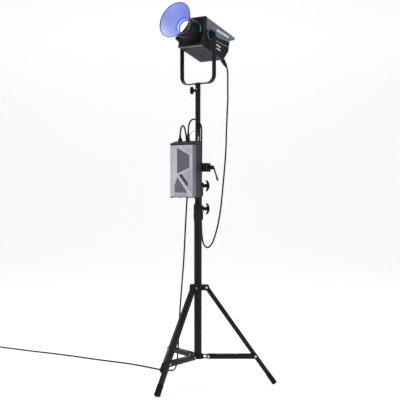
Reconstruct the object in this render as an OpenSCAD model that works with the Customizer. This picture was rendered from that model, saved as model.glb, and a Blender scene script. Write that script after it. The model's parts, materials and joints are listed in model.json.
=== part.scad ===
// LED studio spotlight with bowl reflector on a three-legged stand,
// with its control box clamped to the stand. Millimetres, +Z up.
// Origin: on the floor, under the axis of the stand's column.

/* [Stand] */
// Outer diameter of the lower column tube
column_d = 35; // [34.5:0.5:35]
// Outer diameter of the first riser tube
riser_1_d = 28; // [27:0.5:28]
// Outer diameter of the second riser tube
riser_2_d = 24; // [23:0.5:24]
// Height of the leg pivots above the floor
leg_pivot_z = 443.7; // [443:0.1:444]
// Side of the square leg tubes
leg_w = 20; // [18:0.5:20]
// Distance from leg pivot to the brace pin along the leg
leg_l1 = 387.7; // [387:0.1:388]
// Distance between the two pins of a brace
brace_l = 215.5; // [215:0.1:216]
// Height of the horizontal braces
brace_z = 127.5; // [127:0.1:128]
// Angle of the open legs from the vertical
leg_angle = 35.4; // [35.2:0.1:35.6]

/* [Collars] */
// Underside of the lower clamp collar
collar_1_z = 743.5; // [743:0.5:745]
// Underside of the upper clamp collar
collar_2_z = 852; // [851:0.5:853]
// Height of the clamp collars
collar_h = 84; // [80:1:84]

/* [Head] */
// Swivel angle of the yoke about the column
pan = 37.77; // [30:0.01:45]
// Upward tilt of the lamp head
tilt = 16.9; // [10:0.1:20]
// Height of the tilt axis above the floor
pivot_z = 1597.3; // [1597:0.1:1598]
// Width of the head
head_w = 135.2; // [134:0.1:135.2]
// Centre distance of the yoke arms
yoke_w = 185.3; // [185:0.1:186]
// Radius of the reflector's rim
rim_r = 85.3; // [84:0.1:85.3]
// Distance of the rim from the tilt axis
rim_a = 177.5; // [176:0.1:177.5]

/* [Control box] */
// Yaw of the control box about the column
box_yaw = 30; // [28:1:32]
// Width of the control box
box_w = 117; // [116:1:117]
// Depth of the control box
box_d = 86; // [84:1:86]
// Distance of its back from the column axis
box_back = 34; // [34:0.5:36]
// Underside of the box
box_z = 859; // [858:1:860]
// Top of the box's walls
box_top = 1092; // [1090:1:1092]

/* [Cables] */
// Diameter of the head cable and of the mains cord
cable_d = 7.5; // [7:0.5:7.5]

/* [Hidden] */

$fn = 48;
e = 0.01;
az = [240, 0, 120];                 // legs a, b, c around the column
leg_r = 40;                         // radius of the leg pivots
hub_r = 48.9;                       // radius of the brace pins at the column
run = 0.06;                         // running clearance on a radius
gap = 0.3;                          // gap between faces that slide or turn
body_k = 1.035;                     // the lamp's housing is drawn smaller by this, about the tilt axis
black = "#232126";
dark = "#2b292e";
silver = "#c4c5ca";
grey = "#74757f";
blue = "#2f95b8";

// ---------- shared shapes ----------
module rr2(w, h, r) {
  square([w - 2*r, h], center = true);
  square([w, h - 2*r], center = true);
  for (x = [-1, 1], y = [-1, 1]) translate([x*(w/2 - r), y*(h/2 - r)]) circle(r = r);
}
module tube(ro, ri, h) difference() { cylinder(r = ro, h = h); translate([0, 0, -1]) cylinder(r = ri, h = h + 2); }
module xcyl(r, x0, x1) translate([x0, 0, 0]) rotate([0, 90, 0]) cylinder(r = r, h = x1 - x0);
module ycyl(r, y0, y1) translate([0, y0, 0]) rotate([-90, 0, 0]) cylinder(r = r, h = y1 - y0);
module along_x(x0, x1) translate([x0, 0, 0]) rotate([90, 0, 90]) linear_extrude(x1 - x0) children();
module at_head() translate([0, 0, pivot_z]) rotate([0, 0, -pan]) rotate([-tilt, 0, 0]) children();
module at_body() at_head() scale(body_k) children();
module at_yoke() rotate([0, 0, -pan]) children();
module at_box() rotate([0, 0, -box_yaw]) children();
// turns a profile of [distance forward, radius] about the head's optical axis
module optic() at_body() rotate([90, 0, 0]) rotate_extrude($fn = 96) children();

// crescent-winged clamp screw along +X
module t_knob() {
  xcyl(4, 0, 10);
  xcyl(9, 6, 15);
  rotate([90, 0, 0]) translate([0, 0, -5.5]) linear_extrude(11) intersection() {
    difference() { translate([26 - 35, 0]) circle(r = 35, $fn = 96); translate([14 - 45, 0]) circle(r = 45, $fn = 96); }
    translate([3, -27.5]) square([40, 55]);
  }
}

// ---------- cord sweep ----------
function unit(v) = v / norm(v);
function cr(a, b, c, d, t) = 0.5*((2*b) + (c - a)*t + (2*a - 5*b + 4*c - d)*t*t + (3*b - a - 3*c + d)*t*t*t);
function smooth_path(p, n) = let (m = len(p) - 1) concat(
  [for (i = [0:m - 1], j = [0:n - 1]) cr(p[max(i - 1, 0)], p[i], p[i + 1], p[min(i + 2, m)], j/n)], [p[m]]);
module sweep(p, r, ref, sides = 10) {
  m = len(p) - 1;
  tan = [for (i = [0:m]) unit(p[min(i + 1, m)] - p[max(i - 1, 0)])];
  pts = [for (i = [0:m]) let (u = unit(cross(tan[i], ref)), v = cross(tan[i], u))
    for (k = [0:sides - 1]) p[i] + r*(cos(360*k/sides)*u + sin(360*k/sides)*v)];
  faces = concat(
    [[for (k = [0:sides - 1]) sides - 1 - k]],
    [for (i = [0:m - 1], k = [0:sides - 1]) let (a = i*sides + k, b = i*sides + (k + 1) % sides) [a, b, b + sides]],
    [for (i = [0:m - 1], k = [0:sides - 1]) let (a = i*sides + k, b = i*sides + (k + 1) % sides) [a, b + sides, a + sides]],
    [[for (k = [0:sides - 1]) m*sides + k]]);
  polyhedron(points = pts, faces = [for (f = faces) [for (q = [len(f) - 1:-1:0]) f[q]]], convexity = 8);
}
// routes, from where each cord leaves to where it ends
head_upper_pts = [[134, 95.3, 1467.6], [137, 99.5, 1462], [139.5, 106, 1447], [140.5, 114, 1415], [140.5, 120, 1378], [141, 122, 1316]];
head_lower_pts = [[141, 122, 1315], [138, 118, 1255], [134, 110, 1165], [131, 102, 1074], [124, 94, 984], [117, 86, 909],
  [111, 80, 847], [104, 72, 788], [88, 60, 708], [69, 49, 650], [55, 43, 630], [42, 38, 624], [28, 33, 638], [20, 30, 668], [16, 29, 735],
  [15, 29, 860], [16, 27, 1000], [17, 22, 1090], [17, 8, 1140], [17, -5, 1168], [12, -18, 1190], [-5, -32, 1208], [-20, -45, 1212], [-33, -55, 1203],
  [-41, -61, 1183], [-44, -64, 1150.5]];
mains_upper_pts = [[-81, -42, 1143.5], [-79, -41, 1160], [-74, -34, 1178], [-68, -24, 1184], [-62, -14, 1176], [-57, -7, 1158], [-53, -1, 1125], [-50, 4, 1080], [-48, 6, 960], [-50, 8, 855]];
mains_lower_pts = [[-50, 8, 853.9], [-57, 34, 735], [-66, 78, 568], [-74, 120, 467], [-86, 192, 315], [-95, 272, 150], [-99, 300, 90], [-104, 322, 42],
  [-114, 333, 12], [-132, 340, 3.75], [-165, 350, 3.75], [-200, 378, 3.75], [-260, 445, 3.75], [-362, 548, 3.75], [-540, 681, 3.75], [-728, 832, 3.75], [-923, 967, 3.75], [-1130, 1120, 3.75], [-1187, 1164, 3.75]];
coil_c = [-1220, 1126];

// ---------- stand ----------
module lower_column() color(black) translate([0, 0, 124]) tube(column_d/2, 16, 670);
module brace_hub() color(black) {
  translate([0, 0, 116]) difference() {
    cylinder(r = 23, h = 24);
    translate([0, 0, 8]) cylinder(r = column_d/2, h = 30);
    translate([0, 0, -1]) cylinder(r = 8, h = 20);
  }
  for (a = az) rotate([0, 0, a]) difference() {
    union() {
      translate([20, -10.4, brace_z - 10]) cube([hub_r - 20, 20.8, 20]);
      translate([hub_r, 0, brace_z]) ycyl(10, -10.4, 10.4);
    }
    translate([hub_r, 0, brace_z]) ycyl(3, -20, 20);
    cylinder(r = 20, h = 200);
  }
}
module brace_hub_bolts() color(silver) for (a = az) rotate([0, 0, a]) translate([hub_r, 0, brace_z]) {
  ycyl(3, -14.1, 14.1);
  ycyl(5.2, 14.1, 17);
  ycyl(5.2, -17, -14.1);
}
module clamp_collar(z0, r_low, r_up, z_split, zk, boss_x) translate([0, 0, z0]) difference() {
  union() {
    translate([0, 0, 4]) cylinder(r = 19.5, h = collar_h - 8);
    cylinder(r1 = 18.5, r2 = 19.5, h = 4, $fn = 64);
    translate([0, 0, collar_h - 4]) cylinder(r1 = 19.5, r2 = 17.5, h = 4, $fn = 64);
    translate([0, -9, zk - 15]) cube([boss_x, 18, 30]);
    translate([0, -6, 8]) cube([24, 12, collar_h - 16]);
  }
  translate([0, 0, -1]) cylinder(r = r_low, h = z_split + 1);
  translate([0, 0, z_split - 1]) cylinder(r = r_up, h = collar_h);
  translate([15, -0.8, zk - 20]) cube([5, 1.6, 80]);
  translate([0, 0, zk]) xcyl(4 + run, 16, 40);
}
module lower_collar() color(dark) clamp_collar(collar_1_z, column_d/2, riser_1_d/2 + gap, 50.5, 61, 28);
module lower_collar_knob() color(black) translate([28 + gap, 0, collar_1_z + 61]) union() { xcyl(4, -8, 1); t_knob(); }
module leg_hub() color(black) difference() {
  union() {
    translate([0, 0, 430]) cylinder(r = 23.3, h = 27);
    for (a = az) rotate([0, 0, a]) for (s = [-1, 1]) {
      translate([15, s > 0 ? leg_w/2 + 0.4 : -leg_w/2 - 4.4, 430]) cube([leg_r - 15 + 6, 4, 27]);
      translate([leg_r, 0, leg_pivot_z]) ycyl(13.2, s > 0 ? leg_w/2 + 0.4 : -leg_w/2 - 4.4, s > 0 ? leg_w/2 + 4.4 : -leg_w/2 - 0.4);
    }
    rotate([0, 0, 60]) translate([18, -8, 430]) cube([11, 16, 27]);
  }
  translate([0, 0, 400]) cylinder(r = column_d/2 + gap, h = 100);
  for (a = az) rotate([0, 0, a]) translate([leg_r, 0, leg_pivot_z]) ycyl(3, -30, 30);
  rotate([0, 0, 60]) translate([0, 0, leg_pivot_z]) xcyl(4 + run, 10, 40);
}
module leg_hub_bolts() color(silver) for (a = az) rotate([0, 0, a]) translate([leg_r, 0, leg_pivot_z]) {
  ycyl(3, -14.4, 14.4);
  ycyl(5.2, 14.4, 17.4);
  ycyl(5.2, -17.4, -14.4);
}
module leg_lock_knob() color(black) rotate([0, 0, 60]) translate([29 + gap, 0, leg_pivot_z]) {
  xcyl(4, -10.5, 6);
  difference() {
    xcyl(11, 4, 16);
    for (k = [0:5]) rotate([60*k, 0, 0]) translate([0, 13, 0]) xcyl(3.5, 0, 20);
  }
}
module leg(i) rotate([0, 0, az[i]]) translate([leg_r, 0, leg_pivot_z]) rotate([0, 180 - leg_angle, 0]) difference() {
  translate([0, 0, -9]) linear_extrude(519) difference() { rr2(leg_w, leg_w, 3); rr2(leg_w - 3.4, leg_w - 3.4, 1.8); }
  ycyl(3 + run, -20, 20);
}
module leg_a() color(black) leg(0);
module leg_b() color(black) leg(1);
module leg_c() color(black) leg(2);
module foot(i) rotate([0, 0, az[i]]) difference() {
  translate([leg_r, 0, leg_pivot_z]) rotate([0, 180 - leg_angle, 0]) difference() {
    translate([0, 0, 486]) linear_extrude(54) rr2(22.8, 22.8, 3.6);
    translate([0, 0, 480]) linear_extrude(30) rr2(leg_w, leg_w, 3);
  }
  translate([200, -50, -20]) cube([300, 100, 20]);
}
module foot_a() color("#1b1a1c") foot(0);
module foot_b() color("#1b1a1c") foot(1);
module foot_c() color("#1b1a1c") foot(2);
module brace(i) rotate([0, 0, az[i]]) translate([hub_r, 0, brace_z]) {
  for (s = [-1, 1]) difference() {
    union() {
      translate([0, s > 0 ? leg_w/2 + 0.8 : -leg_w/2 - 3.8, -11]) cube([brace_l, 3, 22]);
      for (x = [0, brace_l]) translate([x, 0, 0]) ycyl(11, s > 0 ? leg_w/2 + 0.8 : -leg_w/2 - 3.8, s > 0 ? leg_w/2 + 3.8 : -leg_w/2 - 0.8);
      translate([brace_l, 0, 0]) ycyl(4.6, s > 0 ? leg_w/2 + 3.8 : -leg_w/2 - 6, s > 0 ? leg_w/2 + 6 : -leg_w/2 - 3.8);
    }
    ycyl(3 + run, -20, 20);
  }
  translate([32, -leg_w/2 - 1, 9]) cube([102, leg_w + 2, 2]);
}
module brace_a() color(black) brace(0);
module brace_b() color(black) brace(1);
module brace_c() color(black) brace(2);
module riser_1() color(black) translate([0, 0, 140]) tube(riser_1_d/2, riser_1_d/2 - 1.2, 760);
module upper_collar() color(dark) clamp_collar(collar_2_z, riser_1_d/2, riser_2_d/2 + gap, 48, 58, 27.4);
module upper_collar_knob() color(black) translate([27.4 + gap, 0, collar_2_z + 58]) union() { xcyl(4, -8, 1); t_knob(); }
module riser_2() color(black) translate([0, 0, 560]) tube(riser_2_d/2, riser_2_d/2 - 1.5, 762);
module spigot() color(silver) {
  translate([0, 0, 1290]) cylinder(r = riser_2_d/2 - 1.5, h = 32);
  translate([0, 0, 1322]) cylinder(r = 12, h = 7);
  translate([0, 0, 1329]) cylinder(r = 8, h = 16);
  translate([0, 0, 1345]) cylinder(r = 6.8, h = 5);
  translate([0, 0, 1350]) cylinder(r = 8, h = 17);
}

// ---------- yoke ----------
module receiver() color(black) at_yoke() difference() {
  union() {
    translate([0, 0, 1329 + gap]) cylinder(r = 12.2, h = 46.2 - gap + 0.3);
    translate([0, 0, 1375]) cylinder(r = 4, h = 6);
    translate([0, 0, 1380]) cylinder(r = 6.5, h = 5, $fn = 6);
    rotate([0, 0, pan]) translate([0, 0, 1347]) xcyl(7.5, -15.5, 0);
  }
  translate([0, 0, 1320]) cylinder(r = 8 + run, h = 48);
  rotate([0, 0, pan]) translate([0, 0, 1347]) xcyl(3.5 + run, -20, 0);
}
module receiver_knob() color(black) translate([-15.5 - gap, 0, 1347]) {
  xcyl(3.5, -8, 7);
  xcyl(7, -9, -1);
  rotate([90, 0, 0]) translate([-12, 0, -6]) linear_extrude(12) rr2(18, 35, 8.9);
}
module yoke() color(dark) at_yoke() difference() {
  union() {
    intersection() {
      translate([0, 13, 1375.5]) rotate([90, 0, 0]) linear_extrude(26) difference() {
        translate([0, 150]) rr2(yoke_w + 4.5, 300, 38);
        translate([0, 150 + 4.5]) rr2(yoke_w - 4.5, 300, 34);
      }
      translate([-150, -20, 1370]) cube([300, 40, pivot_z - 1370]);
    }
    for (s = [-1, 1]) translate([0, 0, pivot_z]) xcyl(13, s*yoke_w/2 - 2.25, s*yoke_w/2 + 2.25);
  }
  translate([0, 0, pivot_z]) xcyl(5 + run, -150, 150);
  translate([0, 0, 1370]) cylinder(r = 4, h = 20);
}
module tilt_knob() color(black) at_head() difference() {
  union() {
    xcyl(9, -yoke_w/2 - 12, -yoke_w/2 - 2.25 - gap);
    xcyl(12, -yoke_w/2 - 28, -yoke_w/2 - 10);
    for (k = [0:2]) rotate([120*k + 80, 0, 0]) translate([0, 13, 0]) xcyl(6, -yoke_w/2 - 27, -yoke_w/2 - 13);
  }
  xcyl(5 + run, -yoke_w/2 - 18, -yoke_w/2);
}

// ---------- lamp head ----------
hw = head_w/2/body_k;                // half width of the housing, as drawn
module head_shell() color(dark) at_body() difference() {
  along_x(-hw, hw) polygon([[-24.2, -67], [127.2, -67], [152, -15], [147, 33.4], [143, 31], [55, 13], [-24.2, 14]]);
  along_x(-hw + 2.5, hw - 2.5) polygon([[-30, -64.5], [125.5, -64.5], [149, -15], [144.5, 30], [143, 40], [55, 30], [-30, 30]]);
  for (k = [-4:4]) translate([k*13, 52, -66]) rotate([0, 0, 35]) translate([-2, -38, -5]) cube([4, 76, 10]);
  for (s = [-1, 1]) xcyl(14, s > 0 ? hw - 4 : -hw - 1, s > 0 ? hw + 1 : -hw + 4);
}
module top_cover() color(grey) at_body() difference() {
  along_x(-hw, hw) polygon([[-24.2, 14], [55, 13], [143, 31], [181, 54.8], [181, 66], [176, 70.6], [-39.2, 70.6]]);
  along_x(-hw + 2.5, hw - 2.5) polygon([[-45, 68.1], [-22, 0], [55, 0], [141, 26], [143, 34], [178.5, 57.2], [178.5, 64.5], [175, 68.1]]);
  for (s = [-1, 1]) translate([s*hw, 0, 70.6]) rotate([0, 45, 0]) cube([9, 500, 9], center = true);
  for (s = [-1, 1]) xcyl(14, s > 0 ? hw - 4 : -hw - 1, s > 0 ? hw + 1 : -hw + 4);
}
module blue_trim() color(blue) for (s = [-1, 1]) {
  at_body() translate([s > 0 ? hw : -hw - 0.8, 0, 0]) along_x(0, 0.8) polygon([[55, 10.5], [143, 28.5], [143, 33.5], [55, 15.5]]);
  at_head() translate([s > 0 ? 73.5 : -77.5, 0, 0]) rotate([0, 90, 0]) difference() { cylinder(r = 25, h = 4); translate([0, 0, -1]) cylinder(r = 23.2, h = 6); }
}
module front_bezel() color(dark) at_body() difference() {
  along_x(-hw, hw) polygon([[-43.3, -67], [-43.3, 70.6], [-39.2, 70.6], [-24.2, 14], [-24.2, -67]]);
  translate([0, -30, 0]) cube([head_w - 12, 15, 122], center = true);
  translate([0, -20, 0]) cube([head_w - 12, 15, 122], center = true);
  ycyl(43, -60, 0);
  for (s = [-1, 1]) translate([s*hw, -60, 70.6]) rotate([0, 45, 0]) cube([7, 120, 7], center = true);
}
module fan_frame() color(black) at_body() {
  translate([0, 120, 0]) rotate([90, 0, 0]) difference() {
    linear_extrude(6) square([92, 84], center = true);
    translate([0, 0, -1]) cylinder(r = 38, h = 8);
  }
  translate([0, 120, 0]) rotate([90, 0, 0]) linear_extrude(3) { for (k = [-1, 1]) rotate(45*k) square([78, 4], center = true); circle(r = 12); }
}
module mount_ring() color(black) optic() polygon([[50, 43.3], [50, 60], [48.5, 62], [44.5, 62], [44.5, 52], [46, 50.5], [46, 47], [43.4, 47], [43.4, 43.3]]);
module mount_latch() color(blue) at_body() rotate([90, 0, 0]) translate([0, 0, 47.5]) rotate([0, 0, -8]) rotate_extrude(angle = 50, $fn = 96) translate([50 + gap, 0]) square([3, 6]);
module led_module() color("#e2d24a") at_body() {
  translate([0, -30, 0]) cube([46, 3, 46], center = true);
  ycyl(16, -33, -31);
}
module glass_dome() color([0.95, 0.97, 1, 0.6]) optic() polygon(concat(
  [[42.6, 34], [42.6, 37], [31.5, 37], [31.5, 84]], [for (t = [10:10:90]) [31.5*cos(t), 84 + 19*sin(t)]], [for (t = [90:-10:10]) [29*cos(t), 84 + 16.5*sin(t)]], [[29, 84], [29, 34]]));
module heat_sink() color("#b7b9bd") at_body() {
  translate([0, -26, 0]) cube([100, 5, 100], center = true);
  for (k = [-7:7]) translate([k*6.6, 20, -4]) cube([1.6, 88, 88], center = true);
}
module fan_rotor() color("#101013") at_body() translate([0, 98, 0]) rotate([90, 0, 0]) {
  translate([0, 0, -12]) cylinder(r = 14, h = 16);
  for (k = [0:6]) rotate([0, 0, 360*k/7]) translate([12, -1, -10]) rotate([20, 0, 0]) cube([23, 2, 12]);
}
module pivot_bosses() color(black) at_head() {
  for (s = [-1, 1]) {
    xcyl(23.2, s > 0 ? head_w/2 : -77.2, s > 0 ? 77.2 : -head_w/2);
    xcyl(15, s > 0 ? 77.2 : -90.1, s > 0 ? 90.1 : -77.2);
  }
  xcyl(5, 90.1, 95.2);
  xcyl(8, 95.2, 99);
  xcyl(4.4, 99, 102);
  xcyl(5, -108, -90.1);
}
module head_plug() color(black) at_body() translate([46, 133.9, -53]) rotate([-115.2, 0, 0]) {
  cylinder(r = 10.5, h = 4);
  translate([0, 0, 4]) cylinder(r = 9.5, h = 20);
  translate([0, 0, 24]) cylinder(r = 8.4, h = 15);
  translate([0, 0, 39]) cylinder(r1 = 7.4, r2 = 4.6, h = 14, $fn = 48);
}

// ---------- reflector ----------
rr = rim_r/body_k; ra = rim_a/body_k;   // rim, as drawn
function bowl(t) = 107 + (ra - 107)*pow(t, 1.08);
module reflector() color(silver) optic() polygon(concat(
  [for (k = [0:12]) [34 + (rr - 35)*k/12, bowl(k/12)]], [[rr, ra], [rr, ra - 2.4]],
  [for (k = [12:-1:0]) [35.4 + (rr - 35)*k/12, bowl(k/12) - 1.6]], [[35.4, 98], [34, 98]]));
module reflector_base() color(black) optic() {
  polygon([[47, 62.3], [47, 90], [44, 97.8], [34, 97.8], [34, 95], [40.5, 91], [40.5, 62.3]]);
  polygon([[41, 53], [44.1, 53], [44.1, 62.3], [41, 62.3]]);
}

// ---------- control box ----------
bx1 = 40; bx0 = bx1 - box_w;
by0 = -box_back - box_d; by1 = -box_back;
module box_front_shell() color(silver) at_box() difference() {
  translate([0, 0, box_z]) linear_extrude(box_top - box_z) difference() {
    translate([bx0, by0]) union() { translate([3, 0]) square([box_w - 6, 33]); translate([0, 3]) square([box_w, 30]); translate([3, 3]) circle(r = 3); translate([box_w - 3, 3]) circle(r = 3); }
    translate([bx0 + 2.5, by0 + 4.5]) square([box_w - 5, 60]);
  }
  // recessed panels of the face
  translate([0, by0 + 2.2, 0]) rotate([90, 0, 0]) linear_extrude(10) {
    polygon([[-41, 1080], [25, 1046], [25, 990], [-41, 962]]);
    polygon([[-39, 950], [15, 878], [-53, 878], [-55, 908]]);
    polygon([[-29, 957], [-15, 965], [18, 921], [14, 905]]);
  }
}
module box_rear_shell() color("#3b383c") at_box() {
  difference() {
    translate([0, 0, box_z]) linear_extrude(box_top - box_z) difference() {
      translate([bx0, by0 + 33]) square([box_w, box_d - 33]);
      translate([bx0 + 2.5, by0 + 30]) square([box_w - 5, box_d - 32.5]);
    }
    // openings of the display, the switch and the dial
    translate([bx0 - 1, -70, 1010]) cube([6, 26, 44]);
    translate([bx0 - 1, -64, 899.4]) cube([6, 14.6, 23.8]);
    translate([bx0 - 5, -57, 970]) xcyl(4 + run, 0, 20);
  }
  translate([bx0, by0, box_z - 3]) cube([box_w, box_d, 3]);
  for (x = [bx0 + 4, bx0 + 46, bx1 - 10], y = [by0 + 4, by1 - 12]) translate([x, y, box_z - 5]) cube([7, 8, 2]);
}
module box_top_cap() color("#3b383c") at_box() {
  difference() {
    along_x(bx0, bx1) polygon([[by0, box_top], [by0, 1100], [by0 + 50, 1113], [by1, 1113], [by1, box_top]]);
    along_x(bx0 + 3, bx1 - 3) polygon([[by0 + 3, box_top - 1], [by0 + 3, 1097], [by0 + 50, 1110], [by1 - 3, 1110], [by1 - 3, box_top - 1]]);
  }
  for (x = [-48.6, -6]) translate([x, -77, 1104]) cylinder(r = 10.5, h = 9.5);
}
module wire_loop() color("#b4b6ba") at_box() {
  for (x = [-16, 31]) translate([x, -50, 1113]) cylinder(r = 2.6, h = 20);
  translate([7.5, -50, 1133]) rotate([90, 0, 0]) rotate_extrude(angle = 180, $fn = 64) translate([23.5, 0]) circle(r = 1.1, $fn = 16);
}
cz = 993;                            // height of the clamp screw
module clamp_frame() color(black) at_box() difference() {
  union() {
    translate([-30, -34, cz - 20]) cube([92, 10, 40]);
    translate([-30, -24.5, cz - 20]) cube([17.5, 38, 40]);
    translate([42, -24.5, cz - 20]) cube([20, 36, 40]);
    translate([0, 0, cz]) xcyl(10, 62, 68);
  }
  translate([-13, 0, cz - 30]) rotate([0, 0, 45]) translate([-riser_2_d/2, -riser_2_d/2, 0]) cube([riser_2_d, riser_2_d, 60]);
  translate([0, 0, cz]) xcyl(4 + run, 30, 80);
  translate([0, 0, cz - 30]) cylinder(r = riser_2_d/2, h = 60);
}
module clamp_jaw() color(dark) at_box() difference() {
  translate([riser_2_d/2 - 4, -16, cz - 18]) cube([20, 30, 36]);
  translate([0, 0, cz - 30]) cylinder(r = riser_2_d/2 + gap, h = 60);
  translate([0, 0, cz]) xcyl(4 + 0.5, 16, 40);
}
module clamp_lever() color(black) at_box() {
  translate([0, 0, cz]) xcyl(4, 23, 75);
  translate([0, 0, cz]) xcyl(9, 68 + gap, 84);
  translate([76, 0, cz]) rotate([0, -20, 0]) {
    translate([2, -4, -62]) cube([8, 8, 58]);
    translate([6, 0, -62]) ycyl(5.5, -5, 5);
  }
}
module power_board() color("#2c6b45") at_box() {
  translate([bx0 + 8, by0 + 20, box_z + 8]) cube([box_w - 16, 2, 200]);
  for (k = [0:3]) translate([bx0 + 16 + 24*k, by0 + 22, box_z + 24 + 18*(k % 2)]) cube([16, 18, 42]);
  translate([bx0 + 30, by0 + 38, box_z + 150]) rotate([90, 0, 0]) cylinder(r = 14, h = 16);
}
module box_display() color("#151a22") at_box() {
  translate([bx0 - 0.6, -70, 1010]) cube([3.6, 26, 44]);
}
module power_switch() color("#b02020") at_box() translate([bx0, -64 + gap, 900 + gap]) difference() {
  translate([-1.4, 0, 0]) cube([6, 14, 22]);
  translate([2, 0, 11]) ycyl(1.2, -1, 20);
}
module dimmer_dial() color(black) at_box() translate([bx0, -57, 970]) { xcyl(4, -1, 8); xcyl(12, -13, -gap); }

// ---------- cords ----------
module at_box_top(x) at_box() translate([x, -77, 0]) children();
module mains_plug() color(black) at_box_top(-48.6) translate([0, 0, 1113.5]) {
  translate([0, 0, 5]) linear_extrude(10, center = true) rr2(17, 13, 3);
  translate([0, 0, 10]) cylinder(r = 5.5, h = 8);
  translate([0, 0, 18]) cylinder(r = 4.6, h = 12);
}
module box_connector() color(black) at_box_top(-6) translate([0, 0, 1113.5]) {
  cylinder(r = 7.2, h = 13);
  translate([0, 0, 13]) cylinder(r = 6.2, h = 17);
  translate([0, 0, 30]) cylinder(r = 4.4, h = 7);
}
module head_cable_upper() color(black) sweep(smooth_path(head_upper_pts, 2), cable_d/2, [0.8, -0.6, 0.1]);
module head_cable_lower() color(black) sweep(head_lower_pts, cable_d/2, [0.15, 1, 0.05]);
module mains_cord_upper() color(black) sweep(smooth_path(mains_upper_pts, 2), cable_d/2, [0.9, -0.4, 0]);
module mains_cord_lower() color(black) sweep(mains_lower_pts, cable_d/2, [1, 0.25, 0]);
module mains_coil() color(black) translate([coil_c[0], coil_c[1], 0]) rotate_extrude($fn = 64) translate([22, 0]) square([33, 15.2]);
module wall_plug() color(black) translate([-1273, 1112, 0]) {
  translate([-12, -78, 0]) cube([24, 40, 18]);
  translate([0, 0, 9]) ycyl(6, -38, -24);
  translate([0, 0, 9]) ycyl(cable_d/2, -24, -1);
  for (s = [-1, 1]) translate([s*6, 0, 9]) ycyl(2, -94, -78);
}

lower_column();
brace_hub();
brace_hub_bolts();
lower_collar();
lower_collar_knob();
leg_hub();
leg_hub_bolts();
leg_lock_knob();
leg_a();
leg_b();
leg_c();
foot_a();
foot_b();
foot_c();
brace_a();
brace_b();
brace_c();
riser_1();
upper_collar();
upper_collar_knob();
riser_2();
spigot();
receiver();
receiver_knob();
yoke();
tilt_knob();
head_shell();
top_cover();
blue_trim();
front_bezel();
fan_frame();
mount_ring();
mount_latch();
led_module();
glass_dome();
heat_sink();
fan_rotor();
pivot_bosses();
head_plug();
reflector();
reflector_base();
box_front_shell();
box_rear_shell();
box_top_cap();
wire_loop();
clamp_frame();
clamp_jaw();
clamp_lever();
power_board();
box_display();
power_switch();
dimmer_dial();
mains_plug();
box_connector();
head_cable_upper();
head_cable_lower();
mains_cord_upper();
mains_cord_lower();
mains_coil();
wall_plug();
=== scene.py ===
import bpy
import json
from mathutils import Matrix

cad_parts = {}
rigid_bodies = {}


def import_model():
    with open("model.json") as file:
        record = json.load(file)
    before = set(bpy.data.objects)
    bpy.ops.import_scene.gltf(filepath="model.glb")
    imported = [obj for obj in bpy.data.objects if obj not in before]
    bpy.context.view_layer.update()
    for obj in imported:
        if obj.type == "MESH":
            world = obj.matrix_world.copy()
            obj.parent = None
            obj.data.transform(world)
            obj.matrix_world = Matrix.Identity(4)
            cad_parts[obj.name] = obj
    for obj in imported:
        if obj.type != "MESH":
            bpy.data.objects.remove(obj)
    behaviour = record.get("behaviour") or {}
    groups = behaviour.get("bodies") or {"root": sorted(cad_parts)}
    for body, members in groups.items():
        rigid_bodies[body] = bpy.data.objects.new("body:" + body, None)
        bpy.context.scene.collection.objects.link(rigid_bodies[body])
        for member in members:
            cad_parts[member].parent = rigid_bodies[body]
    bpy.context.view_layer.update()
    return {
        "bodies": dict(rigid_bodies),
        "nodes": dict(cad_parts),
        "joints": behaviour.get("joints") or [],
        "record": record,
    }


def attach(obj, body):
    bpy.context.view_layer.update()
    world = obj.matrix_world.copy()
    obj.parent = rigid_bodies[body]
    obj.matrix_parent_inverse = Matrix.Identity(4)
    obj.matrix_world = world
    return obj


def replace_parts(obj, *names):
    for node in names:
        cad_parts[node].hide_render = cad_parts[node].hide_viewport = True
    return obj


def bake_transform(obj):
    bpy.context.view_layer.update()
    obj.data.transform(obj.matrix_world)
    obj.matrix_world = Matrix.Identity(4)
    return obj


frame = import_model()

import bpy, bmesh, json, math
import numpy as np
from mathutils import Matrix, Vector

scene = bpy.context.scene
MM = 0.001

# ------------------------------------------------------------------ camera
cam_data = bpy.data.cameras.new("cam")
cam_data.sensor_fit = "HORIZONTAL"
cam_data.sensor_width = 36.0
cam_data.lens = 90.0
cam_data.shift_x = 0.0052
cam_data.clip_start = 0.05
cam_data.clip_end = 60.0
cam = bpy.data.objects.new("cam", cam_data)
scene.collection.objects.link(cam)
cam.location = (0.0, -4.592, 0.85)
cam.rotation_euler = (math.radians(90.0) - 0.0012, 0.0, 0.0)
scene.camera = cam

# ------------------------------------------------------------------ frames of the head, yoke and box
PAN, TILT, PZ = math.radians(37.77), math.radians(16.9), 1597.3
HEAD = Matrix.Translation((0, 0, PZ * MM)) @ Matrix.Rotation(-PAN, 4, "Z") @ Matrix.Rotation(-TILT, 4, "X") @ Matrix.Scale(MM, 4)
YOKE = Matrix.Rotation(-PAN, 4, "Z") @ Matrix.Scale(MM, 4)
BOX = Matrix.Rotation(-math.radians(30), 4, "Z") @ Matrix.Scale(MM, 4)
ROW = Matrix.Scale(MM, 4)
def RX(d): return Matrix.Rotation(math.radians(d), 4, "X")
def RY(d): return Matrix.Rotation(math.radians(d), 4, "Y")
def RZ(d): return Matrix.Rotation(math.radians(d), 4, "Z")
def T(x, y, z): return Matrix.Translation((x, y, z))
# the lamp's housing is drawn a little smaller than it is
BODY = HEAD @ Matrix.Scale(1.035, 4)
# local Z along the optical axis (forward), local X = head's right
OPT = BODY @ RX(90)

# ------------------------------------------------------------------ materials
def srgb(h):
    h = h.lstrip("#")
    out = []
    for i in (0, 2, 4):
        c = int(h[i:i + 2], 16) / 255
        out.append(c / 12.92 if c <= 0.04045 else ((c + 0.055) / 1.055) ** 2.4)
    return (*out, 1.0)

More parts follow.
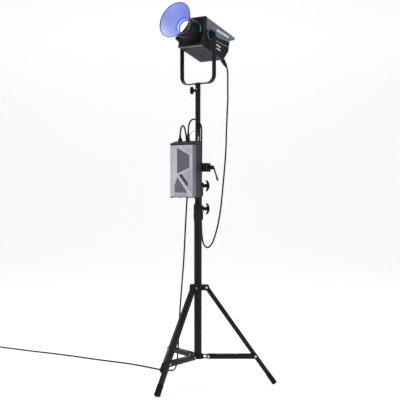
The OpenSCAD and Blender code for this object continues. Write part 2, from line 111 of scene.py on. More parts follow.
def scale_c(c, k): return (min(c[0] * k, 1), min(c[1] * k, 1), min(c[2] * k, 1), 1.0)

MATS = {}
def mat(name, base, rough=0.5, metal=0.0, grain=900.0, grain_bump=0.12, mottle=14.0, mottle_amt=0.12, rough_amt=0.1,
        spec=0.5, wear=0.0, wear_col=None, stretch=(1, 1, 1), coat=0.0, emit=None, emit_s=0.0, scratches=0.0):
    if name in MATS:
        return MATS[name]
    m = bpy.data.materials.new(name)
    m.use_nodes = True
    nt = m.node_tree
    N, L = nt.nodes, nt.links
    N.clear()
    out = N.new("ShaderNodeOutputMaterial")
    b = N.new("ShaderNodeBsdfPrincipled")
    L.new(b.outputs[0], out.inputs[0])
    b.inputs["Metallic"].default_value = metal
    b.inputs["Specular IOR Level"].default_value = spec
    b.inputs["Coat Weight"].default_value = coat
    b.inputs["Coat Roughness"].default_value = 0.15
    if emit is not None:
        b.inputs["Emission Color"].default_value = emit
        b.inputs["Emission Strength"].default_value = emit_s
    tc = N.new("ShaderNodeTexCoord")
    mp = N.new("ShaderNodeMapping")
    mp.inputs["Scale"].default_value = stretch
    L.new(tc.outputs["Object"], mp.inputs["Vector"])
    n1 = N.new("ShaderNodeTexNoise"); n1.inputs["Scale"].default_value = mottle; n1.inputs["Detail"].default_value = 6.0
    n2 = N.new("ShaderNodeTexNoise"); n2.inputs["Scale"].default_value = grain; n2.inputs["Detail"].default_value = 2.0
    L.new(mp.outputs[0], n1.inputs["Vector"]); L.new(mp.outputs[0], n2.inputs["Vector"])
    add = N.new("ShaderNodeMath"); add.operation = "MULTIPLY_ADD"
    L.new(n2.outputs["Fac"], add.inputs[0]); add.inputs[1].default_value = 0.35
    L.new(n1.outputs["Fac"], add.inputs[2])
    ramp = N.new("ShaderNodeMapRange")
    ramp.inputs["From Min"].default_value = 0.42; ramp.inputs["From Max"].default_value = 0.95
    L.new(add.outputs[0], ramp.inputs["Value"])
    mix = N.new("ShaderNodeMix"); mix.data_type = "RGBA"
    mix.inputs["A"].default_value = scale_c(base, 1 - mottle_amt)
    mix.inputs["B"].default_value = scale_c(base, 1 + mottle_amt)
    L.new(ramp.outputs["Result"], mix.inputs["Factor"])
    col = mix.outputs["Result"]
    if wear > 0:
        geo = N.new("ShaderNodeNewGeometry")
        wr = N.new("ShaderNodeMapRange")
        wr.inputs["From Min"].default_value = 0.53; wr.inputs["From Max"].default_value = 0.62
        L.new(geo.outputs["Pointiness"], wr.inputs["Value"])
        wm = N.new("ShaderNodeMath"); wm.operation = "MULTIPLY"
        L.new(wr.outputs["Result"], wm.inputs[0]); L.new(n1.outputs["Fac"], wm.inputs[1])
        wm2 = N.new("ShaderNodeMath"); wm2.operation = "MULTIPLY"; wm2.use_clamp = True
        L.new(wm.outputs[0], wm2.inputs[0]); wm2.inputs[1].default_value = wear * 2
        mx = N.new("ShaderNodeMix"); mx.data_type = "RGBA"
        L.new(wm2.outputs[0], mx.inputs["Factor"]); L.new(col, mx.inputs["A"])
        mx.inputs["B"].default_value = wear_col or scale_c(base, 3.0)
        col = mx.outputs["Result"]
    L.new(col, b.inputs["Base Color"])
    rr = N.new("ShaderNodeMapRange")
    rr.inputs["To Min"].default_value = max(rough - rough_amt, 0.03); rr.inputs["To Max"].default_value = min(rough + rough_amt, 1.0)
    rr.inputs["From Min"].default_value = 0.3; rr.inputs["From Max"].default_value = 0.7
    L.new(n1.outputs["Fac"], rr.inputs["Value"]); L.new(rr.outputs["Result"], b.inputs["Roughness"])
    h = n2.outputs["Fac"]
    if scratches > 0:
        n3 = N.new("ShaderNodeTexNoise"); n3.inputs["Scale"].default_value = 60.0; n3.inputs["Detail"].default_value = 3.0
        mp3 = N.new("ShaderNodeMapping"); mp3.inputs["Scale"].default_value = (1, 1, 40)
        L.new(tc.outputs["Object"], mp3.inputs["Vector"]); L.new(mp3.outputs[0], n3.inputs["Vector"])
        ma = N.new("ShaderNodeMath"); ma.operation = "MULTIPLY_ADD"; ma.inputs[1].default_value = scratches
        L.new(n3.outputs["Fac"], ma.inputs[0]); L.new(n2.outputs["Fac"], ma.inputs[2]); h = ma.outputs[0]
    bp = N.new("ShaderNodeBump"); bp.inputs["Strength"].default_value = grain_bump; bp.inputs["Distance"].default_value = 0.0006
    L.new(h, bp.inputs["Height"]); L.new(bp.outputs[0], b.inputs["Normal"])
    MATS[name] = m
    return m

m_tube = mat("black_powder_coat", srgb("#0f0e11"), rough=0.36, spec=0.17, grain=1400, grain_bump=0.10, wear=0.2, wear_col=srgb("#3c3b3f"))
m_cast = mat("black_casting", srgb("#0e0d10"), rough=0.48, spec=0.17, grain=800, grain_bump=0.22, wear=0.2, wear_col=srgb("#3c3b3f"))
m_collar = mat("collar_nylon", srgb("#151417"), rough=0.42, spec=0.18, grain=1100, grain_bump=0.15, wear=0.1)
m_knob = mat("knob_plastic", srgb("#0a090b"), rough=0.4, spec=0.18, grain=1000, grain_bump=0.1, wear=0.1)
m_steel = mat("zinc_steel", srgb("#c9cacd"), rough=0.28, metal=1.0, grain=700, grain_bump=0.06, mottle_amt=0.08)
m_foot = mat("rubber_foot", srgb("#0f0e10"), rough=0.7, spec=0.14, grain=900, grain_bump=0.3, mottle_amt=0.2)
m_head = mat("head_charcoal", srgb("#1f1b20"), rough=0.45, spec=0.2, grain=1500, grain_bump=0.22, wear=0.12, wear_col=srgb("#5c5960"))
m_rib = mat("vent_rib_grey", srgb("#59575f"), rough=0.42, spec=0.25, grain=1500, grain_bump=0.1, mottle_amt=0.1)
m_bezel = mat("bezel_charcoal", srgb("#171418"), rough=0.4, spec=0.2, grain=1500, grain_bump=0.16, wear=0.12, wear_col=srgb("#5c5960"))
m_grey = mat("cover_grey", srgb("#6a6974"), rough=0.42, spec=0.3, grain=1600, grain_bump=0.16, mottle_amt=0.06, wear=0.12, wear_col=srgb("#b0b0b8"))
# light silver of the real trim, also used on the cover's chamfer as a painted highlight
m_silver_trim_and_highlight = mat("cover_edge_silver_and_painted_highlight", srgb("#bdbdc4"), rough=0.36, grain=1500, grain_bump=0.08, mottle_amt=0.05)
m_blue = mat("accent_blue", srgb("#2b8fb4"), rough=0.38, spec=0.3, grain=900, grain_bump=0.04, mottle_amt=0.06, coat=0.1)
m_ringblack = mat("ring_anodised", srgb("#080709"), rough=0.34, spec=0.22, grain=1200, grain_bump=0.05, wear=0.12, wear_col=srgb("#333336"))
m_led = mat("led_phosphor", srgb("#e6cf4c"), rough=0.5, grain=3000, grain_bump=0.2, emit=srgb("#fff6e0"), emit_s=0.6)
m_board = mat("led_board", srgb("#c7c9cc"), rough=0.35, metal=0.6)
m_alu = mat("bare_aluminium", srgb("#b9bcc2"), rough=0.35, metal=1.0, grain=500, grain_bump=0.08, stretch=(1, 1, 6), mottle_amt=0.08)
m_silver = mat("box_silver", srgb("#acadb7"), rough=0.42, metal=0.25, grain=1300, grain_bump=0.12, mottle_amt=0.05, wear=0.08, wear_col=srgb("#e4e4e8"))
# darker grey-blue of the box's side faces: partly their own tone, partly painted shade of the sides turned away from
# the light
m_box_side_grey_and_shade = mat("box_side_grey_and_painted_shade", srgb("#6f7280"), rough=0.42, metal=0.25, grain=1300, grain_bump=0.12, mottle_amt=0.06)
m_lines = mat("box_line_grey", srgb("#74757f"), rough=0.45, metal=0.2, grain=1500, grain_bump=0.1, mottle_amt=0.06)
m_recess = mat("box_recess_grey", srgb("#5f5f67"), rough=0.55, metal=0.2, grain=1600, grain_bump=0.14, mottle_amt=0.08)
m_boxdark = mat("box_dark", srgb("#242126"), rough=0.5, spec=0.22, grain=1100, grain_bump=0.2, mottle_amt=0.1, wear=0.15, wear_col=srgb("#66636a"))
m_wire = mat("wire_steel", srgb("#6d6f75"), rough=0.4, metal=0.7, grain=2200, grain_bump=0.35)
m_cable = mat("cable_jacket", srgb("#0d0c0e"), rough=0.45, spec=0.16, grain=1500, grain_bump=0.1, mottle_amt=0.12)
m_plug = mat("plug_rubber", srgb("#0a090b"), rough=0.5, spec=0.16, grain=1400, grain_bump=0.15)
m_pcb = mat("solder_mask", srgb("#1f6b44"), rough=0.35, grain=600, grain_bump=0.1, mottle=80, mottle_amt=0.25, coat=0.3)
m_disp = mat("display_window", srgb("#0c0f16"), rough=0.12, grain=300, grain_bump=0.01, coat=0.6, rough_amt=0.03)
m_switch = mat("switch_red", srgb("#a31d1d"), rough=0.3, grain=900, grain_bump=0.05, coat=0.2)
m_mark = mat("pale_mark", srgb("#e3e2e6"), rough=0.5, grain=1500, grain_bump=0.05)
m_dark = mat("vent_dark", srgb("#0b0a0c"), rough=0.8, grain=900, grain_bump=0.3)
m_brass = mat("contact_brass", srgb("#b89a58"), rough=0.3, metal=1.0, grain=900, grain_bump=0.04)

# ------------------------------------------------------------------ mesh helpers
def new_obj(name, me, m=None):
    o = bpy.data.objects.new(name, me)
    scene.collection.objects.link(o)
    if m is not None:
        o.data.materials.clear()
        for q in (m if isinstance(m, (list, tuple)) else [m]):
            o.data.materials.append(q)
    return o

def shade(o, angle=35):
    me = o.data
    me.polygons.foreach_set("use_smooth", [True] * len(me.polygons))
    try:
        me.set_sharp_from_angle(angle=math.radians(angle))
    except Exception:
        pass
    me.update()

def raw(name, verts, faces, frame=ROW, m=None, smooth=True, angle=35):
    me = bpy.data.meshes.new(name)
    me.from_pydata([tuple(v) for v in verts], [], [tuple(f) for f in faces])
    me.validate()
    me.transform(frame)
    o = new_obj(name, me, m)
    bm = bmesh.new(); bm.from_mesh(me); bmesh.ops.recalc_face_normals(bm, faces=bm.faces); bm.to_mesh(me); bm.free()
    if smooth: shade(o, angle)
    return o

def apply_mods(o):
    bpy.context.view_layer.update()
    dg = bpy.context.evaluated_depsgraph_get()
    me = bpy.data.meshes.new_from_object(o.evaluated_get(dg), preserve_all_data_layers=True, depsgraph=dg)
    o.modifiers.clear()
    o.data = me
    return o

def bevel(o, w, seg=3, angle=32, apply=True):
    md = o.modifiers.new("bevel", "BEVEL")
    md.width = w * MM; md.segments = seg; md.limit_method = "ANGLE"; md.angle_limit = math.radians(angle)
    md.harden_normals = False; md.use_clamp_overlap = True; md.miter_outer = "MITER_ARC"
    if apply:
        apply_mods(o); shade(o, 40)
    return o

def join(name, objs, m=None):
    """objs (all in the row frame) become one mesh; their material slots are kept"""
    bm = bmesh.new()
    mats = []
    for o in objs:
        me = o.data.copy()
        me.transform(o.matrix_world)
        remap = []
        first = next((q for q in o.data.materials if q is not None), mats[0] if mats else None)
        for q in (o.data.materials or [None]):
            q = q or first
            if q not in mats: mats.append(q)
            remap.append(mats.index(q))
        idx = [remap[min(p.material_index, len(remap) - 1)] for p in me.polygons]
        me.polygons.foreach_set("material_index", idx)
        bm.from_mesh(me)
        bpy.data.meshes.remove(me)
    out = bpy.data.meshes.new(name)
    bm.to_mesh(out); bm.free()
    for o in objs: bpy.data.objects.remove(o, do_unlink=True)
    ob = new_obj(name, out)
    for q in mats:
        if q is not None: ob.data.materials.append(q)
    if m is not None:
        ob.data.materials.clear(); ob.data.materials.append(m)
    return ob

def boolean(o, cutters, op="DIFFERENCE"):
    for c in (cutters if isinstance(cutters, (list, tuple)) else [cutters]):
        before = o.data.copy()
        md = o.modifiers.new("b", "BOOLEAN"); md.operation = op; md.solver = "MANIFOLD"; md.object = c
        apply_mods(o)
        if len(o.data.polygons) == 0 or (len(before.polygons) == len(o.data.polygons) and len(before.vertices) == len(o.data.vertices)):
            o.data = before
            md = o.modifiers.new("b", "BOOLEAN"); md.operation = op; md.solver = "EXACT"; md.use_self = True; md.object = c
            apply_mods(o)
    for c in (cutters if isinstance(cutters, (list, tuple)) else [cutters]):
        bpy.data.objects.remove(c, do_unlink=True)
    return o

def box(name, lo, hi, frame=ROW, m=None, bev=0.0, seg=3, local=None):
    x0, y0, z0 = lo; x1, y1, z1 = hi
    v = [(x0, y0, z0), (x1, y0, z0), (x1, y1, z0), (x0, y1, z0), (x0, y0, z1), (x1, y0, z1), (x1, y1, z1), (x0, y1, z1)]
    f = [(0, 3, 2, 1), (4, 5, 6, 7), (0, 1, 5, 4), (1, 2, 6, 5), (2, 3, 7, 6), (3, 0, 4, 7)]
    fr = frame @ local if local is not None else frame
    o = raw(name, v, f, fr, m, smooth=False)
    if bev > 0: bevel(o, bev, seg)
    return o

def lathe(name, prof, frame=ROW, m=None, n=64, closed=False, angle=35, a0=0.0, a1=360.0):
    """prof: list of (radius, height) turned about local Z; points with radius 0 close on the axis"""
    full = abs(a1 - a0 - 360) < 1e-6
    cols = n if full else n + 1
    verts, rows = [], []
    for r, h in prof:
        if r <= 1e-6 and full:
            rows.append([len(verts)] * cols); verts.append((0, 0, h))
        else:
            rows.append(list(range(len(verts), len(verts) + cols)))
            for k in range(cols):
                t = math.radians(a0 + (a1 - a0) * k / n)
                verts.append((r * math.cos(t), r * math.sin(t), h))
    faces = []
    P = len(prof)
    for i in range(P if closed else P - 1):
        A, B = rows[i], rows[(i + 1) % P]
        for k in range(n):
            k2 = (k + 1) % cols
            q = [A[k], A[k2], B[k2], B[k]]
            q = [q[j] for j in range(4) if q[j] != q[j - 1]]
            if len(q) >= 3: faces.append(q)
    if not full:
        if closed:
            faces.append([rows[i][0] for i in range(P)]); faces.append([rows[i][-1] for i in range(P)][::-1])
    return raw(name, verts, faces, frame, m, True, angle)

def rounded(prof, r, steps=3):
    """rounds the corners of an open profile of (radius, height) points by r"""
    out = [prof[0]]
    for i in range(1, len(prof) - 1):
        a, b, c = (np.array(prof[j], float) for j in (i - 1, i, i + 1))
        u, v = a - b, c - b
        lu, lv = np.linalg.norm(u), np.linalg.norm(v)
        if lu < 1e-6 or lv < 1e-6: continue
        rr = min(r, lu * 0.45, lv * 0.45)
        p, q = b + u / lu * rr, b + v / lv * rr
        for k in range(steps + 1):
            t = k / steps
            out.append(tuple((1 - t) ** 2 * p + 2 * t * (1 - t) * b + t * t * q))
    out.append(prof[-1])
    return out

def plate(name, outlines, thick, frame=ROW, m=None, bev=0.5, res=2, local=None):
    """flat plate from closed outlines [(x, y)...] (first outer, then holes), centred on local z = 0, with rounded edges"""
    cu = bpy.data.curves.new(name, "CURVE")
    cu.dimensions = "2D"; cu.fill_mode = "BOTH"
    for ol in outlines:
        sp = cu.splines.new("POLY")
        sp.points.add(len(ol) - 1)
        for i, (x, y) in enumerate(ol): sp.points[i].co = (x, y, 0, 1)
        sp.use_cyclic_u = True
    bev = min(bev, thick * 0.49)
    cu.extrude = thick / 2 - bev
    cu.bevel_depth = bev; cu.bevel_resolution = res; cu.offset = -bev
    ob = bpy.data.objects.new(name, cu)
    scene.collection.objects.link(ob)
    bpy.context.view_layer.update()
    dg = bpy.context.evaluated_depsgraph_get()
    me = bpy.data.meshes.new_from_object(ob.evaluated_get(dg), depsgraph=dg)
    bpy.data.objects.remove(ob, do_unlink=True)
    bm = bmesh.new(); bm.from_mesh(me)
    bmesh.ops.remove_doubles(bm, verts=bm.verts, dist=1e-4)
    bmesh.ops.recalc_face_normals(bm, faces=bm.faces)
    bm.to_mesh(me); bm.free()
    fr = frame @ local if local is not None else frame
    me.transform(fr)
    o = new_obj(name, me, m)
    shade(o, 30)
    return o

def circle_pts(cx, cy, r, n=48, a0=0, a1=360, end=False):
    k = n + 1 if end else n
    return [(cx + r * math.cos(math.radians(a0 + (a1 - a0) * i / n)), cy + r * math.sin(math.radians(a0 + (a1 - a0) * i / n))) for i in range(k)]

def rrect_pts(cx, cy, w, h, r, n=6):
    out = []
    for sx, sy, a in ((1, 1, 0), (-1, 1, 90), (-1, -1, 180), (1, -1, 270)):
        out += circle_pts(cx + sx * (w / 2 - r), cy + sy * (h / 2 - r), r, n, a, a + 90, True)
    return out

def round_poly(pts, r, steps=5):
    out = []
    n = len(pts)
    for i in range(n):
        a, b, c = (np.array(pts[(i + j) % n], float) for j in (-1, 0, 1))
        u, v = a - b, c - b
        lu, lv = np.linalg.norm(u), np.linalg.norm(v)
        rr = min(r, lu * 0.45, lv * 0.45)
        p, q = b + u / lu * rr, b + v / lv * rr
        for k in range(steps + 1):
            t = k / steps
            out.append(tuple((1 - t) ** 2 * p + 2 * t * (1 - t) * b + t * t * q))
    return out

def cyl(name, r, h0, h1, frame=ROW, m=None, bev=0.4, n=48, local=None):
    fr = frame @ local if local is not None else frame
    bev = min(bev, r * 0.45, (h1 - h0) * 0.45)
    return lathe(name, rounded([(0, h0), (r, h0), (r, h1), (0, h1)], bev), fr, m, n)

ZX = RY(90)          # local Z to +X
ZXN = RY(-90)        # local Z to -X
ZY = RX(-90)         # local Z to +Y
ZYN = RX(90)         # local Z to -Y

def go(o, body, slot, *nodes):
    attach(o, body)
    if nodes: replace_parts(o, *nodes)
    return o

# ------------------------------------------------------------------ cords
def catmull(P, n=8, closed=False):
    P = [np.array(p, float) for p in P]
    m = len(P) - 1
    out = []
    for i in range(m):
        a, b, c, d = P[max(i - 1, 0)], P[i], P[i + 1], P[min(i + 2, m)]
        for j in range(n):
            t = j / n
            out.append(0.5 * ((2 * b) + (c - a) * t + (2 * a - 5 * b + 4 * c - d) * t * t + (3 * b - a - 3 * c + d) * t ** 3))
    out.append(P[m])
    return out

def resample(path, step):
    path = np.array(path, float)
    seg = np.linalg.norm(np.diff(path, axis=0), axis=1)
    s = np.concatenate([[0], np.cumsum(seg)])
    n = max(int(round(s[-1] / step)), 4)
    t = np.linspace(0, s[-1], n + 1)
    return np.stack([np.interp(t, s, path[:, k]) for k in range(3)], 1)

def tube(name, path, r, m, sides=16, caps=True, frame=None):
    """mesh tube along path (row frame, metres), parallel-transported rings"""
    p = np.array(path, float)
    if frame is not None:
        p = np.array([(frame @ Vector(q))[:] for q in p])
    n = len(p)
    tan = np.gradient(p, axis=0); tan /= np.linalg.norm(tan, axis=1)[:, None]
    u = np.cross(tan[0], [0.3, 0.5, 0.8]); u /= np.linalg.norm(u)
    verts, faces = [], []
    rr = r if hasattr(r, "__len__") else [r] * n
    for i in range(n):
        u = u - tan[i] * (u @ tan[i]); u /= np.linalg.norm(u)
        v = np.cross(tan[i], u)
        for k in range(sides):
            a = 2 * math.pi * k / sides
            verts.append(p[i] + rr[i] * (math.cos(a) * u + math.sin(a) * v))
    for i in range(n - 1):
        for k in range(sides):
            a, b = i * sides + k, i * sides + (k + 1) % sides
            faces.append((a, b, b + sides, a + sides))
    if caps:
        faces.append(tuple(range(sides))[::-1]); faces.append(tuple((n - 1) * sides + k for k in range(sides)))
    return raw(name, verts, faces, Matrix.Identity(4), m, True, 60)

HU = [[134, 95.3, 1467.6], [137, 99.5, 1462], [139.5, 106, 1447], [140.5, 114, 1415], [140.5, 120, 1378], [141, 122, 1315.5]]
HL = [[141, 122, 1316], [138, 118, 1255], [134, 110, 1165], [131, 102, 1074], [124, 94, 984], [117, 86, 909],
      [111, 80, 847], [104, 72, 788], [88, 60, 708], [69, 49, 650], [55, 43, 630], [42, 38, 624], [28, 33, 638], [20, 30, 668], [16, 29, 735],
      [15, 29, 860], [16, 27, 1000], [17, 22, 1090], [17, 8, 1140], [17, -5, 1168], [12, -18, 1190], [-5, -32, 1208], [-20, -45, 1212], [-33, -55, 1203],
      [-41, -61, 1183], [-44, -64, 1150.5]]
MU = [[-81, -42, 1143.5], [-79, -41, 1160], [-74, -34, 1178], [-68, -24, 1184], [-62, -14, 1176], [-57, -7, 1158], [-53, -1, 1125], [-50, 4, 1080], [-48, 6, 960], [-50, 8, 855]]
ML = [[-50, 8, 855], [-57, 34, 735], [-66, 78, 568], [-74, 120, 467], [-86, 192, 315], [-95, 272, 150], [-99, 300, 90], [-104, 322, 42],
      [-114, 333, 12], [-132, 340, 3.75], [-165, 350, 3.75], [-200, 378, 3.75], [-260, 445, 3.75], [-362, 548, 3.75], [-540, 681, 3.75], [-728, 832, 3.75], [-923, 967, 3.75], [-1130, 1120, 3.75], [-1187, 1164, 3.75]]
CC = (-1220.0, 1126.0)

def smooth_mm(P, n=8, step=0.006, floor=3.75):
    q = np.array(catmull(P, n))
    q[:, 2] = np.maximum(q[:, 2], floor)
    return resample(q * MM, step)

def coil_path():
    """from the end of ML: inwards on the floor, then outwards on top of it, then off to the plug"""
    pts = []
    a_in = math.degrees(math.atan2(1164 - CC[1], -1187 - CC[0]))
    turns = 3.35
    r0, r1 = 50.5, 25.0
    N = int(turns * 40)
    for i in range(N + 1):
        t = i / N
        pts.append((a_in + 360 * turns * t, r0 + (r1 - r0) * t, 3.75))
    a = a_in + 360 * turns
    for i in range(1, 15):                       # climb on the inner turn
        t = i / 14
        pts.append((a + 110 * t, r1 + 0.4 * t, 3.75 + 7.55 * (t * t * (3 - 2 * t))))
    a += 110
    end = 180.0 + 360 * 7
    while end - a > 360 * 3.4: end -= 360
    N = int((end - a) / 9)
    for i in range(1, N + 1):
        t = i / N
        pts.append((a + (end - a) * t, r1 + 0.4 + (r0 - r1 - 0.2) * t, 11.3))
    xyz = [[CC[0] + r * math.cos(math.radians(q)), CC[1] + r * math.sin(math.radians(q)), z] for q, r, z in pts]
    last = xyz[-1]
    for i in range(1, 9):
        t = i / 8
        xyz.append([last[0] + (-1273 - last[0]) * t * t, last[1] + (1088 - last[1]) * t, 11.3 - 2.3 * t * t * (3 - 2 * t)])
    return np.array(xyz) * MM

R = 0.00375
p_hu = smooth_mm(HU); p_hl = smooth_mm(HL); p_mu = smooth_mm(MU)
p_ml = np.concatenate([smooth_mm(ML, step=0.008)[:-1], resample(coil_path(), 0.006)])
c_hu = tube("head_cable_upper_piece", p_hu, R, m_cable)
c_hl = tube("head_cable_lower_piece", p_hl, R, m_cable)
c_mu = tube("mains_cord_upper_piece", p_mu, R, m_cable)
c_ml = tube("mains_cord_lower_piece", p_ml, R, m_cable, sides=14)
for o, n in ((c_hu, ["head_cable_upper"]), (c_hl, ["head_cable_lower"]), (c_mu, ["mains_cord_upper"]), (c_ml, ["mains_cord_lower", "mains_coil"])):
    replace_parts(o, *n)
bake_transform(c_hu)
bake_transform(c_hl)
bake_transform(c_mu)
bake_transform(c_ml)

# tie round the coil, and the two parts of the cords' ends
def prism_x(name, poly, x0, x1, frame, m, bev=0.0, seg=3):
    n = len(poly)
    v = [(x0, y, z) for y, z in poly] + [(x1, y, z) for y, z in poly]
    f = [tuple(range(n))[::-1], tuple(range(n, 2 * n))] + [(i, (i + 1) % n, n + (i + 1) % n, n + i) for i in range(n)]
    o = raw(name, v, f, frame, m, smooth=False)
    if bev > 0: bevel(o, bev, seg)
    return o

def bars(name, segs, w, h, frame, m, z0=0.0, taper=0.6):
    """raised bars along 2-D segments in the local xy plane, from z0 up to z0 + h, with sloped sides"""
    v, f = [], []
    for (ax, ay), (bx, by) in segs:
        d = np.array([bx - ax, by - ay], float); L = np.linalg.norm(d)
        if L < w: continue
        d /= L; nn = np.array([-d[1], d[0]])
        k = len(v)
        for zz, ww, e in ((z0, w / 2, 0.0), (z0 + h, w / 2 * taper, h * 0.6)):
            for s, t in ((-1, 0), (1, 0), (1, 1), (-1, 1)):
                p = np.array([ax, ay]) + d * (L - e if t else e) + nn * s * ww
                v.append((p[0], p[1], zz))
        f += [(k, k + 1, k + 2, k + 3), (k + 4, k + 7, k + 6, k + 5)] + [(k + i, k + 4 + i, k + 4 + (i + 1) % 4, k + (i + 1) % 4) for i in range(4)]
    return raw(name, v, f, frame, m, smooth=False)

def clip_segs(poly, ang, pitch, margin=0.0, off=0.0):
    """parallel segments at an angle clipped to a convex polygon"""
    P = np.array(poly, float)
    a = math.radians(ang)
    d = np.array([math.cos(a), math.sin(a)]); nn = np.array([-d[1], d[0]])
    s = P @ nn
    out = []
    t = math.ceil((s.min() + margin - off) / pitch) * pitch + off
    while t < s.max() - margin:
        hits = []
        for i in range(len(P)):
            p, q = P[i], P[(i + 1) % len(P)]
            sp, sq = p @ nn - t, q @ nn - t
            if sp * sq < 0:
                w = sp / (sp - sq)
                hits.append((p + (q - p) * w) @ d)
        if len(hits) == 2:
            lo, hi = min(hits) + margin, max(hits) - margin
            if hi - lo > pitch * 0.6:
                out.append((tuple(d * lo + nn * t), tuple(d * hi + nn * t)))
        t += pitch
    return out

def torus(name, R0, r, frame, m, n=64, k=12, local=None):
    fr = frame @ local if local is not None else frame
    v, f = [], []
    for i in range(n):
        a = 2 * math.pi * i / n
        for j in range(k):
            b = 2 * math.pi * j / k
            v.append(((R0 + r * math.cos(b)) * math.cos(a), (R0 + r * math.cos(b)) * math.sin(a), r * math.sin(b)))
    for i in range(n):
        for j in range(k):
            f.append((i * k + j, ((i + 1) % n) * k + j, ((i + 1) % n) * k + (j + 1) % k, i * k + (j + 1) % k))
    return raw(name, v, f, fr, m, True, 60)

def hexbolt(name, af, h, frame, m, local=None, flip=False):
    """hexagon head with chamfered corners, from local z 0 to h"""
    r = af / math.sqrt(3)
    pr = [(0, 0), (1, 0), (1, h * 0.75), (0.88, h), (0, h)]
    v, f = [], []
    rows = []
    fr = frame @ local if local is not None else frame
    for q, z in pr:
        rows.append(len(v))
        for i in range(6):
            a = math.radians(60 * i)
            rr = q * r if q != 0.88 else q * r
            v.append((rr * math.cos(a), rr * math.sin(a), z))
    for j in range(1, len(pr) - 2):
        for i in range(6):
            a, b = rows[j] + i, rows[j] + (i + 1) % 6
            c, d = rows[j + 1] + (i + 1) % 6, rows[j + 1] + i
            f.append((a, b, c, d))
    f.append(tuple(rows[1] + i for i in range(6))[::-1]); f.append(tuple(rows[3] + i for i in range(6)))
    o = raw(name, v, f, fr, m, smooth=False)
    bm = bmesh.new(); bm.from_mesh(o.data)
    loose = [q for q in bm.verts if not q.link_faces]
    bmesh.ops.delete(bm, geom=loose, context="VERTS")
    bm.to_mesh(o.data); bm.free()
    bevel(o, 0.3, 2)
    return o

def rivet(name, r, h, frame, m, local=None, washer=True):
    """domed rivet head from local z 0 up"""
    pr = [(0, 0), (r * 1.25, 0), (r * 1.25, 0.5), (r, 0.5)] if washer else [(0, 0), (r, 0)]
    for k in range(0, 7):
        t = math.radians(90 * k / 6)
        pr.append((r * math.cos(t), (0.5 if washer else 0.0) + 0.2 + (h - 0.7) * math.sin(t)))
    pr[-1] = (0, pr[-1][1])
    return lathe(name, pr, frame @ local if local is not None else frame, m, 32)

# =================================================================== STAND
# tubes
def tube_piece(name, ro, ri, z0, z1, m, rings=()):
    pr = [(ri, z0), (ri + 0.3, z0 - 0.0), (ro - 0.5, z0), (ro, z0 + 0.5)]
    for z, d, w in rings:
        pr += [(ro, z - w / 2 - 0.3), (ro - d, z - w / 2), (ro - d, z + w / 2), (ro, z + w / 2 + 0.3)]
    pr += [(ro, z1 - 0.5), (ro - 0.5, z1), (ri + 0.3, z1), (ri, z1 - 0.3)]
    return lathe(name, pr, ROW, m, 64, closed=True)

go(tube_piece("lower_column_tube", 17.5, 16, 124, 794, m_tube, rings=((150, 0.35, 0.8), (716, 0.35, 0.8))), "column", "black_metal", "lower_column")
go(tube_piece("riser_1_tube", 14, 12.8, 140, 900, m_tube, rings=((838, 0.3, 0.7),)), "riser_1", "black_metal", "riser_1")
go(tube_piece("riser_2_tube", 12, 10.5, 560, 1322, m_tube, rings=((1312, 0.3, 0.7), (1306, 0.3, 0.7))), "riser_2", "black_metal", "riser_2")
sp = lathe("spigot_stud", rounded([(0, 1290), (10.45, 1290), (10.45, 1322), (12, 1322), (12, 1329), (8, 1329), (8, 1345), (6.8, 1346), (6.8, 1349), (8, 1350), (8, 1366), (0, 1367)], 0.6), ROW, m_tube, 48)
go(sp, "riser_2", "black_metal", "spigot")

# clamp collars
def collar_piece(name, z0, r_low, r_up, zs, zk, bx, body):
    h = 84
    pr = [(r_low, 0), (17.6, 0), (18.5, 1.2), (19.4, 4), (19.4, 9), (18.6, 10), (18.6, 12), (19.4, 13), (19.4, zs - 3), (18.7, zs - 2), (18.7, zs), (19.4, zs + 1),
          (19.4, h - 12), (18.7, h - 11), (18.7, h - 9), (19.4, h - 8), (19.2, h - 4), (17.3, h - 0.4), (16.6, h), (r_up, h), (r_up, zs), (r_low, zs)]
    o = lathe(name, [(r, z0 + z) for r, z in pr], ROW, m_collar, 72, closed=True, angle=28)
    parts = [o]
    # stiffening ribs round the body
    for k in range(-5, 6):
        a = 180 + k * 16
        parts.append(box(name + "_rib", (18.9, -1.3, z0 + 15), (20.0 if abs(k) < 5 else 19.8, 1.3, z0 + zs - 5), ROW @ RZ(a), m_collar, 0.45, 2))
        parts.append(box(name + "_rib", (18.9, -1.3, z0 + zs + 3), (20.0 if abs(k) < 5 else 19.8, 1.3, z0 + h - 14), ROW @ RZ(a), m_collar, 0.45, 2))
    # boss of the screw, with its two lips and the split
    b = plate(name + "_boss", [round_poly([(16, zk - 15), (bx - 3, zk - 15), (bx, zk - 11), (bx, zk + 11), (bx - 3, zk + 15), (16, zk + 15)], 2.2)], 18, ROW, m_collar, 1.6, 3, T(0, 0, z0) @ RX(90))
    cut = box(name + "_cut", (15, -0.8, zk - 20 + z0), (60, 0.8, zk + 60 + z0), ROW)
    hole = cyl(name + "_hole", 4.1, 12, 45, ROW, None, 0.0001, 32, T(0, 0, z0 + zk) @ ZX)
    hub = cyl(name + "_hub", r_up + 0.05, -10, 120, ROW, None, 0.0001, 48, T(0, 0, z0))
    boolean(b, [cut, hole, hub]); shade(b, 30)
    parts.append(b)
    fin = plate(name + "_fin", [round_poly([(15, 9), (21.5, 9), (24, 14), (24, zk - 14), (15, zk - 14)], 1.5)], 12, ROW, m_collar, 1.4, 3, T(0, 0, z0) @ RX(90))
    hub2 = cyl(name + "_hub2", max(r_low, r_up) + 0.05, -10, 120, ROW, None, 0.0001, 48, T(0, 0, z0))
    boolean(fin, [hub2]); shade(fin, 30)
    parts.append(fin)
    parts.append(torus(name + "_eye", 6.4, 0.9, ROW, m_collar, 40, 10, T(bx - 0.4, 0, z0 + zk) @ ZX))
    # pinch bolt through the lips, nearer the foot of the boss
    parts.append(rivet(name + "_pin", 2.6, 2.2, ROW, m_steel, T(21.5, -8.8, z0 + zk - 9.5) @ ZYN, True))
    o = join(name, parts)
    return go(o, body, "collar_plastic")

